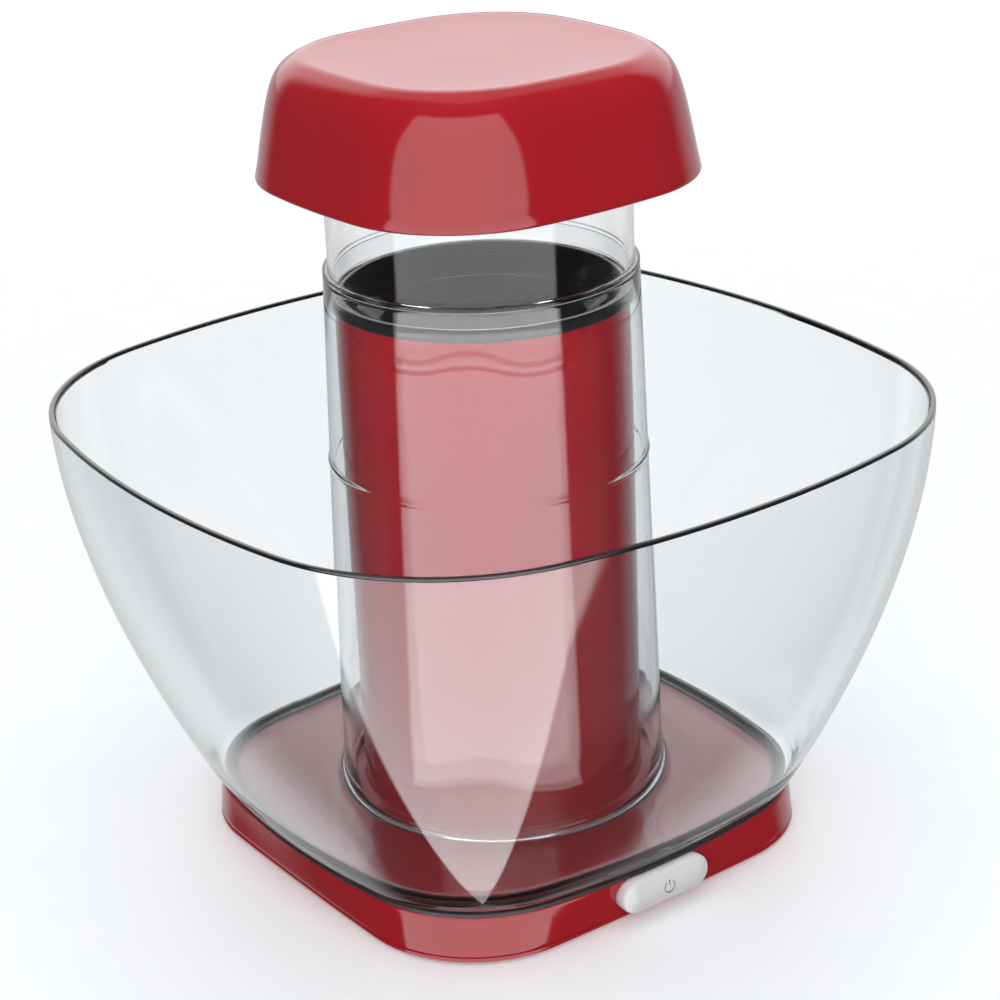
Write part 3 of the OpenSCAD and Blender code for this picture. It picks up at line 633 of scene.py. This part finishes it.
def bowl_inside(floor_z, root_ring):
    """Rings from the rim down the inner wall and over the floor to the sleeve's root."""
    soft, bend, steps, flatten = 0.4 * MM, 9 * MM, 44, 0.8
    rings = [ring(inset(bowl_shape(RIM_Z), BOWL_WALL - soft), RIM_Z),
             ring(inset(bowl_shape(RIM_Z), BOWL_WALL), RIM_Z - soft)]
    for z in spaced(RIM_Z, floor_z + bend, steps)[1:-1]:
        rings.append(ring(inset(bowl_shape(z), BOWL_WALL), z))
    for a in (0.0, 0.26, 0.52, 0.78, 1.04, 1.3, math.pi / 2):
        z = floor_z + bend * (1 - math.sin(a))
        rings.append(ring(inset(bowl_shape(z), BOWL_WALL + bend * (1 - math.cos(a)) * flatten), z))
    outer = rings[-1]
    rings += [[mix(p, q, share) for p, q in zip(outer, root_ring)] for share in (0.35, 0.7, 1.0)]
    return rings


def sleeve_profile(floor_z, root):
    """(radius, height) points up the sleeve's outside, over its top and down its bore."""
    foot_r, gap, lip, soft, straight = SLEEVE_FOOT_R + BOWL_WALL, 1.6 * MM, 0.5 * MM, 0.3 * MM, 12 * MM
    points = [(foot_r + root * (1 - math.sin(a)), floor_z + root * (1 - math.cos(a)))
              for a in (0.4, 0.8, 1.2, math.pi / 2)]
    points += [(sleeve_out(z), z) for z in spaced(floor_z + root, SLEEVE_BEAD_Z - gap, 11)[1:]]
    for above, stand in ((-1.2, 0), (-0.7, 0.3), (0, 0.5), (0.7, 0.3), (1.2, 0)):
        z = SLEEVE_BEAD_Z + above * MM
        points.append((sleeve_out(z) + stand * MM, z))
    points += [(sleeve_out(z), z) for z in spaced(SLEEVE_BEAD_Z + gap, SLEEVE_TOP - 1 * MM, 6)]
    points += [(sleeve_out(SLEEVE_TOP) - lip * (1 - math.cos(a)), SLEEVE_TOP - lip * (1 - math.sin(a)))
               for a in (0.5, 1.0, math.pi / 2)]
    points += [(SLEEVE_TOP_R + soft, SLEEVE_TOP), (SLEEVE_TOP_R, SLEEVE_TOP - soft)]
    points += zip(spaced(SLEEVE_TOP_R, SLEEVE_FOOT_R, 12),
                  spaced(SLEEVE_TOP - straight, SEAT_Z + 2 * MM, 12))
    return points + [(SLEEVE_FOOT_R, SEAT_Z + soft), (SLEEVE_FOOT_R + soft, SEAT_Z)]


def make_bowl():
    """One closed skin: underside, outer wall, rim, inner wall, floor and the centre sleeve."""
    root = 3 * MM
    floor_z = SEAT_Z + BOWL_WALL
    floor_shape = inset(bowl_shape(floor_z), BOWL_WALL)
    root_ring = disc_ring(floor_shape, SLEEVE_FOOT_R + BOWL_WALL + root, floor_z)
    rings = bowl_outside() + bowl_inside(floor_z, root_ring)
    rings += [disc_ring(floor_shape, r, z) for r, z in sleeve_profile(floor_z, root)]
    return piece(skin("clear_bowl", rings, closed=True, sharp=40), "clear_plastic", "bowl", "bowl")


def make_rim_trim():
    """Black bead on the rim's outer edge."""
    edge, up = 0.45 * MM, (TRIM_TOP - RIM_Z) / 2
    rings = []
    for i in range(16):
        a = 2 * math.pi * i / 16
        across = TRIM_W / 2 + (TRIM_W / 2 - edge) * sign(math.cos(a)) + edge * math.cos(a)
        z = RIM_Z + up + (up - edge) * sign(math.sin(a)) + edge * math.sin(a)
        rings.append(ring(inset(bowl_shape(RIM_Z), TRIM_W - across), z))
    return piece(skin("rim_trim", rings, closed=True, sharp=60), "black_plastic", "bowl",
                 "bowl_rim_trim")


def make_chimney():
    """Clear tube with a bead that rests on the sleeve; thin_clear is its finish of clear_plastic."""
    inner = CHIMNEY_R - CHIMNEY_WALL
    profile = [
        (inner, CHIMNEY_Z), (CHIMNEY_R, CHIMNEY_Z), (CHIMNEY_R, SLEEVE_TOP),
        (BEAD_R, SLEEVE_TOP), (BEAD_R, SLEEVE_TOP + BEAD_T), (CHIMNEY_R, SLEEVE_TOP + BEAD_T),
        (CHIMNEY_R, CHIMNEY_TOP), (inner, CHIMNEY_TOP),
    ]
    soft = 0.5 * MM
    profile = fillet(profile, [soft, soft, 0, soft, soft, 0.3 * MM, soft, soft])
    chimney = piece(lathe("clear_chimney", profile), "clear_plastic", "chimney", "chimney")
    paint(chimney, "thin_clear")
    return chimney


def make_collar():
    """Glossy ring on the column with a rolled top edge and a funnel down to the chamber."""
    low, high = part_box("chamber_collar")
    skirt_out, throat, mouth, waist = 47.6 * MM, 40.2 * MM, 47.4 * MM, 46 * MM
    waist_z = low.z + 6.9 * MM
    profile = [
        (throat, low.z), (skirt_out, low.z), (skirt_out, COLLAR_Z), (COLLAR_R, COLLAR_Z),
        (COLLAR_R, high.z), (mouth, high.z), (waist, waist_z), (throat, low.z + 0.6 * MM),
    ]
    radii = [0.1, 0.2, 0, 0.3, 1.6, 0.5, 1.5, 0.2]
    profile = fillet(profile, [r * MM for r in radii], 8)
    return piece(lathe("collar", profile), "black_plastic", "base", "chamber_collar")


def make_column():
    """Column with a soft foot fillet and the bosses that its screws go into."""
    flange_r, flange_t, wall = 55 * MM, 2.2 * MM, 2.2 * MM
    column_r = 50 * MM
    bore = column_r - wall
    profile = [
        (bore, DECK_Z), (flange_r, DECK_Z), (flange_r, DECK_Z + flange_t),
        (column_r, DECK_Z + flange_t), (column_r, COLLAR_Z), (bore, COLLAR_Z),
    ]
    profile = fillet(profile, [r * MM for r in (0, 0.2, 0.6, 1.2, 0.35, 0.3)])
    column = piece(lathe("column", profile), "red_plastic", "base", "column_housing")
    # bosses as (angle, distance from the axis, radius, low z, high z)
    bracket_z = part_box("motor_bracket")[0].z
    foot_h, bracket_h, screw_r, soft = 14 * MM, 22 * MM, 1.3 * MM, 0.5 * MM
    bosses = [(45 + 90 * i, 44.0 * MM, 3.6 * MM, DECK_Z, DECK_Z + foot_h) for i in range(4)]
    bosses += [(a, 43.2 * MM, 4.4 * MM, bracket_z - bracket_h, bracket_z) for a in (90, 210, 330)]
    for i, (angle, at, radius, low, high) in enumerate(bosses):
        profile = fillet([(screw_r, low), (radius, low), (radius, high), (screw_r, high)],
                         [0, soft, soft, 0], 3)
        boss = lathe(f"column_boss_{i + 1}", profile, 32)
        a = math.radians(angle)
        boss.data.transform(Matrix.Translation((at * math.cos(a), at * math.sin(a), 0)))
        piece(boss, "red_plastic", "base")
    return column


def make_base():
    """Base band and deck with the button's notch, the gland's hole and the deck opening."""
    rings = []
    ceiling = DECK_Z - BASE_WALL
    for share in (0.15, 0.5, 0.85):
        half, corner, side = inset(base_shape(ceiling), BASE_WALL)
        rings.append(ring((half * share, corner * share, side), ceiling))
    rings += [ring(s, z) for s, z in reversed(
        [(inset(base_shape(z), BASE_WALL), z) for z in spaced(SHELL_Z, ceiling, 4)])]
    rings += [ring(s, z) for s, z in rounded_wall(base_shape, SHELL_Z, DECK_Z, 0.7 * MM, 10)]
    for share in (0.94, 0.7, 0.35):
        half, corner, side = base_shape(DECK_Z)
        rings.append(ring((half * share, corner * share, side), DECK_Z))
    base = skin("base_band", rings, sharp=35)
    middle = (BUTTON_LOW + BUTTON_HIGH) / 2
    size = BUTTON_HIGH - BUTTON_LOW
    # the cutters reach past the wall on both sides
    past = 10 * MM
    in_front = -120 * MM
    notch = skin("notch", [pill_ring((middle.x, middle.z), size.x + 2 * FIT_GAP, size.z + 2 * FIT_GAP, y)
                           for y in (in_front, BUTTON_HIGH.y)])
    back = base_shape(GLAND_Z)[0]
    deck_r, gland_face_r, gland_hole_r, face_depth = 38 * MM, 5.8 * MM, 4.6 * MM, 0.6 * MM
    holes = [
        drill("deck_opening", deck_r, (0, 0, ceiling - past), (0, 0, DECK_Z + past), 128),
        drill("gland_face", gland_face_r, (0, back - face_depth, GLAND_Z), (0, back + 2 * past, GLAND_Z)),
        drill("gland_hole", gland_hole_r, (0, back - past, GLAND_Z), (0, back + past, GLAND_Z)),
    ]
    cut(base, [notch, *holes], sharp=35)
    return piece(base, "red_plastic", "base", "base_shell")


def make_cover():
    """Bottom cover with its lip, air slots, and recesses for the feet and screws."""
    top = SHELL_Z
    rings = [ring(s, z) for s, z in rounded_wall(base_shape, COVER_Z, top, 0.45 * MM, 4)]
    inner = [tuple(s * share for s in inset(base_shape(COVER_Z), 1 * MM)[:2]) for share in (0.9, 0.5)]
    lower = [ring((h, c, BASE_FOOT[2]), COVER_Z) for h, c in reversed(inner)]
    upper = [ring((h, c, BASE_FOOT[2]), top) for h, c in inner]
    cover = skin("bottom_plate", lower + rings + upper, sharp=35)
    tools = []
    below = COVER_Z - 10 * MM
    vent_r, pitch, width = 36 * MM, 6 * MM, 3 * MM
    for i in range(-5, 6):
        half = math.sqrt(vent_r ** 2 - (i * pitch) ** 2)
        low = (-half, i * pitch - width / 2, below)
        tools.append(block("slot", low, (half, i * pitch + width / 2, top + 10 * MM)))
    # each kind of seat as (name, radius, depth, x, y), one in every quarter
    seats = [("foot_seat", 8 * MM, 0.6 * MM, 64 * MM, 64 * MM),
             ("head_seat", 3.2 * MM, 0.9 * MM, 70 * MM, 38 * MM)]
    for x in (-1, 1):
        for y in (-1, 1):
            for name, radius, depth, seat_x, seat_y in seats:
                at = (x * seat_x, y * seat_y)
                tools.append(drill(name, radius, (*at, below), (*at, COVER_Z + depth)))
    cut(cover, tools, sharp=35)
    return piece(cover, "red_plastic", "base", "bottom_cover")


def make_gasket():
    """Soft-edged band between the base and the bowl."""
    edge, proud = 0.35 * MM, 0.2 * MM
    low, high = DECK_Z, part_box("seat_gasket")[1].z
    grown = inset(BASE_TOP, -proud)
    corners = [
        (GASKET_W + proud, low), (GASKET_W + proud, high), (0, high), (0, low),
    ]
    profile = fillet(corners, [edge, edge, edge * 1.6, edge], 4)
    rings = [ring(inset(grown, d), z) for d, z in profile]
    return piece(skin("gasket", rings, closed=True, sharp=50), "seal_rubber", "base", "seat_gasket")


def make_button():
    """Pill-shaped button with a crowned face, soft edges and its stem behind."""
    middle, size = (BUTTON_LOW + BUTTON_HIGH) / 2, BUTTON_HIGH - BUTTON_LOW
    depth, crown, edge, skirt = 7.1 * MM, 0.7 * MM, 2.0 * MM, 1.8 * MM
    stem_r, stem_length, axis_r = 3.4 * MM, 6.2 * MM, 0.01 * MM
    front, back = BUTTON_LOW.y, BUTTON_LOW.y + depth
    at = (middle.x, middle.z)
    rings = []

    def pill_at(d, y):
        rings.append(pill_ring(at, size.x - 2 * d, size.z - 2 * d, y))

    # inside of the skirt, from its closed front to the open back
    pill_at(skirt + 3 * MM, front + crown + 1.8 * MM)
    pill_at(skirt, front + crown + 2.2 * MM)
    pill_at(skirt, back)
    pill_at(0.3 * MM, back)
    pill_at(0, back - 0.3 * MM)
    for i in range(9):
        a = math.pi / 2 * i / 8
        pill_at(edge * (1 - math.cos(a)), front + crown + edge * (1 - math.sin(a)))
    deepest = size.z / 2 - 0.15 * MM
    for i in range(1, 10):
        d = edge + (deepest - edge) * i / 9
        rise = crown * (1 - ((deepest - d) / (deepest - edge)) ** 2)
        pill_at(d, front + crown - rise)
    button = piece(skin("button", rings, sharp=50), "pale_plastic", "button", "power_button")
    profile = [(axis_r, 0), (stem_r, 0), (stem_r, stem_length), (axis_r, stem_length)]
    stem = lathe("button_stem", fillet(profile, [0, 0.4 * MM, 0, 0], 3), 48)
    stem.data.transform(Matrix.Translation((middle.x, BUTTON_HIGH.y, middle.z))
                        @ Matrix.Rotation(math.pi / 2, 4, "X"))
    piece(stem, "pale_plastic", "button")
    return button


def make_button_mark():
    """Generic on mark: a short bar in an open circle, printed on the button's face."""
    middle = (BUTTON_LOW + BUTTON_HIGH) / 2
    radius, stroke, proud = 2.3 * MM, 0.26 * MM, 0.05 * MM
    y = BUTTON_LOW.y - proud * 0.2
    gap = math.radians(38)
    verts, faces = [], []

    def strip(points):
        start = len(verts)
        for inner, outer in points:
            for x, z in (inner, outer):
                verts.append((middle.x + x, y, middle.z + z))
                verts.append((middle.x + x, y + 0.25 * MM, middle.z + z))
        for i in range(len(points) - 1):
            a, b = start + 4 * i, start + 4 * i + 4
            faces.extend([(a, a + 2, b + 2, b), (a + 1, b + 1, b + 3, a + 3),
                          (a, b, b + 1, a + 1), (a + 2, a + 3, b + 3, b + 2)])
        a, b = start, start + 4 * (len(points) - 1)
        faces.extend([(a, a + 1, a + 3, a + 2), (b, b + 2, b + 3, b + 1)])

    arc = []
    for i in range(41):
        a = math.pi / 2 + gap + (2 * math.pi - 2 * gap) * i / 40
        c, s = math.cos(a), math.sin(a)
        arc.append((((radius - stroke) * c, (radius - stroke) * s), (radius * c, radius * s)))
    strip(arc)
    half = stroke / 2
    strip([((-half, radius * 0.25), (half, radius * 0.25)), ((-half, radius * 1.1), (half, radius * 1.1))])
    return piece(new_object("button_mark", verts, faces), "dark_plastic", "button")


def make_gland():
    """Gland in the back of the base: a flange, a neck through the wall and a ring that holds it."""
    low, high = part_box("cord_gland")
    length = high.y - low.y
    bore_r, flange_r, neck_r, ring_r = 3.4 * MM, 5.8 * MM, 4.6 * MM, 5.2 * MM
    flange_t, ring_low, ring_high = 3.5 * MM, 6.5 * MM, 7.9 * MM
    profile = [
        (bore_r, 0), (flange_r, 0), (flange_r, flange_t), (neck_r, flange_t),
        (neck_r, ring_low), (ring_r, ring_low), (ring_r, ring_high), (neck_r, ring_high),
        (neck_r, length), (bore_r, length),
    ]
    radii = [0.8, 1.0, 0.2, 0, 0, 0.3, 0.3, 0, 0.4, 0.3]
    gland = lathe("gland", fillet(profile, [r * MM for r in radii], 5), 96)
    gland.data.transform(Matrix.Translation((0, high.y, GLAND_Z))
                         @ Matrix.Rotation(math.pi / 2, 4, "X"))
    return piece(gland, "black_plastic", "base", "cord_gland")


def paint_frame():
    """Materials for the CAD nodes that are shown as they are."""
    slots = {s["node"]: s["material_slot"] for s in frame["record"]["subparts"]}
    for name, node in frame["nodes"].items():
        paint(node, slots[name])


# ---------------------------------------------------------------- studio

CAMERA_AZ = math.radians(-36.15)
CAMERA_EL = math.radians(22.84)
CAMERA_ROLL = math.radians(-2.34)
CAMERA_DISTANCE = 868.3 * MM
CAMERA_TARGET_Z = 121.2 * MM
CAMERA_ASIDE = 3.07 * MM
CAMERA_LENS = 90.09

# Radiance of the studio; the floor shows near white at 1
PANEL_AZ = CAMERA_AZ - math.radians(5)
PANEL_EDGES = (math.cos(math.radians(62)), math.cos(math.radians(44)))
PANEL_LOW, PANEL_HIGH = 2.8, 2.2
BACKDROP_LOW, BACKDROP_HIGH = 0.62, 1.45
DIM = 0.08
AMBIENT = 0.5
WHITE = 1.0
KEY, OVERHEAD = 2.25, 1.85
TINT = (0.98, 0.99, 1, 1)

# Soft steps of the studio, as sines of height or cosines of the turn from the panel's middle
PANEL_TAPER = (-0.35, 0.55)
PANEL_SOFT = (-0.02, 0.02)
PANEL_FOOT = (-0.25, 0.1)
PANEL_TOP = (0.70, 0.80)
BACKDROP_SIDES = (0.45, 0.75)
BACKDROP_FOOT = (0.02, 0.12)
BACKDROP_TOP = (0.55, 0.85)

# The floor's painted glow near the object and far from it, and between which distances it rises; the floor
# is no lamp, and the weaker glow near the object is painted shade round it
FLOOR_PAINTED_GLOW = (0.13, 0.53)
PAINTED_GLOW_REACH = (0.2, 2.0)


def direction(azimuth, elevation):
    """Unit vector from the object towards a place round it; azimuth 0 is the -Y side."""
    return Vector((math.sin(azimuth) * math.cos(elevation),
                   -math.cos(azimuth) * math.cos(elevation), math.sin(elevation)))


def make_camera():
    """Camera that looks at a point beside the column's axis and is rolled about its own view."""
    data = bpy.data.cameras.new("camera")
    data.lens = CAMERA_LENS
    data.clip_start = 0.01
    camera = bpy.data.objects.new("camera", data)
    bpy.context.scene.collection.objects.link(camera)
    back = direction(CAMERA_AZ, CAMERA_EL)
    right = Vector((math.cos(CAMERA_AZ), math.sin(CAMERA_AZ), 0))
    up = back.cross(right)
    across = right * math.cos(CAMERA_ROLL) + up * math.sin(CAMERA_ROLL)
    above = up * math.cos(CAMERA_ROLL) - right * math.sin(CAMERA_ROLL)
    turn = Matrix((across, above, back)).transposed().to_4x4()
    target = Vector((0, 0, CAMERA_TARGET_Z)) + right * CAMERA_ASIDE
    camera.matrix_world = Matrix.Translation(target + back * CAMERA_DISTANCE) @ turn
    bpy.context.scene.camera = camera


def soft_box(name, azimuth, elevation, distance, width, height, radiance):
    """Rectangular light that faces the object; azimuth is measured from the camera's."""
    data = bpy.data.lights.new(name, "AREA")
    data.shape = "RECTANGLE"
    data.size, data.size_y = width, height
    data.energy = radiance * math.pi * width * height
    light = bpy.data.objects.new(name, data)
    bpy.context.scene.collection.objects.link(light)
    away = direction(CAMERA_AZ + math.radians(azimuth), math.radians(elevation))
    light.location = Vector((0, 0, 0.15)) + away * distance
    light.rotation_mode = "QUATERNION"
    light.rotation_quaternion = away.to_track_quat("Z", "Y")
    light.visible_glossy = False
    light.visible_transmission = False
    light.visible_camera = False
    return light


def math_node(tree, operation, a, b=None):
    """Result of a Math node on sockets or numbers."""
    node = tree.nodes.new("ShaderNodeMath")
    node.operation = operation
    for socket, value in zip(node.inputs, (a, b)):
        if isinstance(value, (int, float)):
            socket.default_value = value
        elif value is not None:
            link(tree, value, socket)
    return node.outputs["Value"]


def step_up(tree, value, low, high):
    """0 below low and 1 above high, with a soft step between."""
    node = tree.nodes.new("ShaderNodeMapRange")
    node.interpolation_type = "SMOOTHSTEP"
    node.inputs["From Min"].default_value = low
    node.inputs["From Max"].default_value = high
    link(tree, value, node.inputs["Value"])
    return node.outputs["Result"]


def step_down(tree, value, low, high):
    """1 below low and 0 above high, with a soft step between."""
    return math_node(tree, "SUBTRACT", 1, step_up(tree, value, low, high))


def blend(tree, first, second, amount):
    """Goes from the first number to the second as amount runs from 0 to 1."""
    return math_node(tree, "ADD", first, math_node(tree, "MULTIPLY", amount, second - first))


def facing(tree, vector, towards):
    """How far a vector points towards a direction."""
    node = tree.nodes.new("ShaderNodeVectorMath")
    node.operation = "DOT_PRODUCT"
    node.inputs[1].default_value = towards
    link(tree, vector, node.inputs[0])
    return node.outputs["Value"]


def studio_light(tree):
    """Radiance by direction: a tapered front panel, a low bright backdrop behind and dim sides."""
    place = tree.nodes.new("ShaderNodeTexCoord").outputs["Generated"]
    ahead = facing(tree, place, direction(PANEL_AZ, 0))
    aside = facing(tree, place, (math.cos(PANEL_AZ), math.sin(PANEL_AZ), 0))
    height = facing(tree, place, (0, 0, 1))
    level = math_node(tree, "SQRT", math_node(tree, "ADD", math_node(tree, "MULTIPLY", ahead, ahead),
                                              math_node(tree, "MULTIPLY", aside, aside)))
    turn = math_node(tree, "DIVIDE", ahead, math_node(tree, "MAXIMUM", level, 0.001))
    edge = blend(tree, *PANEL_EDGES, step_up(tree, height, *PANEL_TAPER))
    front = step_up(tree, math_node(tree, "SUBTRACT", turn, edge), *PANEL_SOFT)
    front = math_node(tree, "MULTIPLY", front, step_down(tree, height, *PANEL_TOP))
    panel = blend(tree, PANEL_HIGH, PANEL_LOW, step_down(tree, height, *PANEL_FOOT))
    behind = step_up(tree, math_node(tree, "MULTIPLY", turn, -1), *BACKDROP_SIDES)
    over = math_node(tree, "MULTIPLY", step_up(tree, height, *BACKDROP_FOOT),
                     step_down(tree, height, *BACKDROP_TOP))
    backdrop = blend(tree, BACKDROP_LOW, BACKDROP_HIGH, over)
    light = math_node(tree, "ADD", math_node(tree, "MULTIPLY", front, panel),
                      math_node(tree, "MULTIPLY", behind, backdrop))
    return math_node(tree, "ADD", light, DIM)


def background(tree):
    """A background shader in the studio's tint."""
    node = tree.nodes.new("ShaderNodeBackground")
    node.inputs["Color"].default_value = TINT
    return node


def make_world():
    """What a ray sees: white if it never bounced, even light if it is diffuse, else the studio."""
    world = bpy.data.worlds.new("studio")
    world.use_nodes = True
    world.cycles.sampling_method = "NONE"
    tree = world.node_tree
    tree.nodes.clear()
    studio, even, white = background(tree), background(tree), background(tree)
    link(tree, studio_light(tree), studio.inputs["Strength"])
    even.inputs["Strength"].default_value = AMBIENT
    white.inputs["Strength"].default_value = WHITE
    path = tree.nodes.new("ShaderNodeLightPath")
    bounced = math_node(tree, "ADD", path.outputs["Glossy Depth"], path.outputs["Diffuse Depth"])
    either = choose(tree, path.outputs["Is Diffuse Ray"], studio.outputs["Background"],
                    even.outputs["Background"])
    seen = choose(tree, math_node(tree, "LESS_THAN", bounced, 0.5), either,
                  white.outputs["Background"])
    out = tree.nodes.new("ShaderNodeOutputWorld")
    link(tree, seen, out.inputs["Surface"])
    bpy.context.scene.world = world


def make_floor():
    """Pale floor that only the camera sees, so that what is above it reflects the studio alone.

    It lies just under the feet, and has a painted glow that is stronger far from the object, so that it
    reads darker near it.
    """
    size, drop = 6.0, 0.05 * MM
    floor = new_object("floor", [(-size, -size, 0), (size, -size, 0), (size, size, 0),
                                 (-size, size, 0)], [(0, 1, 2, 3)])
    floor.data.transform(Matrix.Translation((0, 0, -drop)))
    # the emission colour is the tint of the floor's painted glow
    material = surface("floor", (0.80, 0.815, 0.83), 0.6, 60.0, 1e-6, 0.004,
                       Emission_Color=(0.97, 0.985, 1, 1))
    tree = material.node_tree
    place = tree.nodes.new("ShaderNodeTexCoord").outputs["Object"]
    away = tree.nodes.new("ShaderNodeVectorMath")
    away.operation = "LENGTH"
    link(tree, place, away.inputs[0])
    # painted light: the floor glows though it is no lamp, weaker near the object (painted shade) and
    # stronger far from it
    glow = blend(tree, *FLOOR_PAINTED_GLOW, step_up(tree, away.outputs["Value"], *PAINTED_GLOW_REACH))
    link(tree, glow, tree.nodes["Principled BSDF"].inputs["Emission Strength"])
    floor.data.materials.append(material)
    floor.visible_glossy = False
    floor.visible_transmission = False
    floor.visible_diffuse = False
    floor.visible_shadow = False


def make_studio():
    """Camera, world, floor, two soft boxes and the depth of the light paths."""
    make_camera()
    make_world()
    make_floor()
    soft_box("front", 0, 22, 1.5, 1.6, 1.4, KEY)
    soft_box("top", 180, 80, 1.5, 1.6, 1.6, OVERHEAD)
    view = bpy.context.scene.view_settings
    view.view_transform = "Standard"
    view.look = "None"
    cycles = bpy.context.scene.cycles
    cycles.max_bounces = 24
    cycles.transmission_bounces = 24
    cycles.transparent_max_bounces = 32


paint_frame()
make_lid()
make_lid_ribs()
make_chimney()
make_bowl()
make_rim_trim()
make_collar()
make_column()
make_base()
make_cover()
make_gasket()
make_button()
make_button_mark()
make_gland()
make_studio()
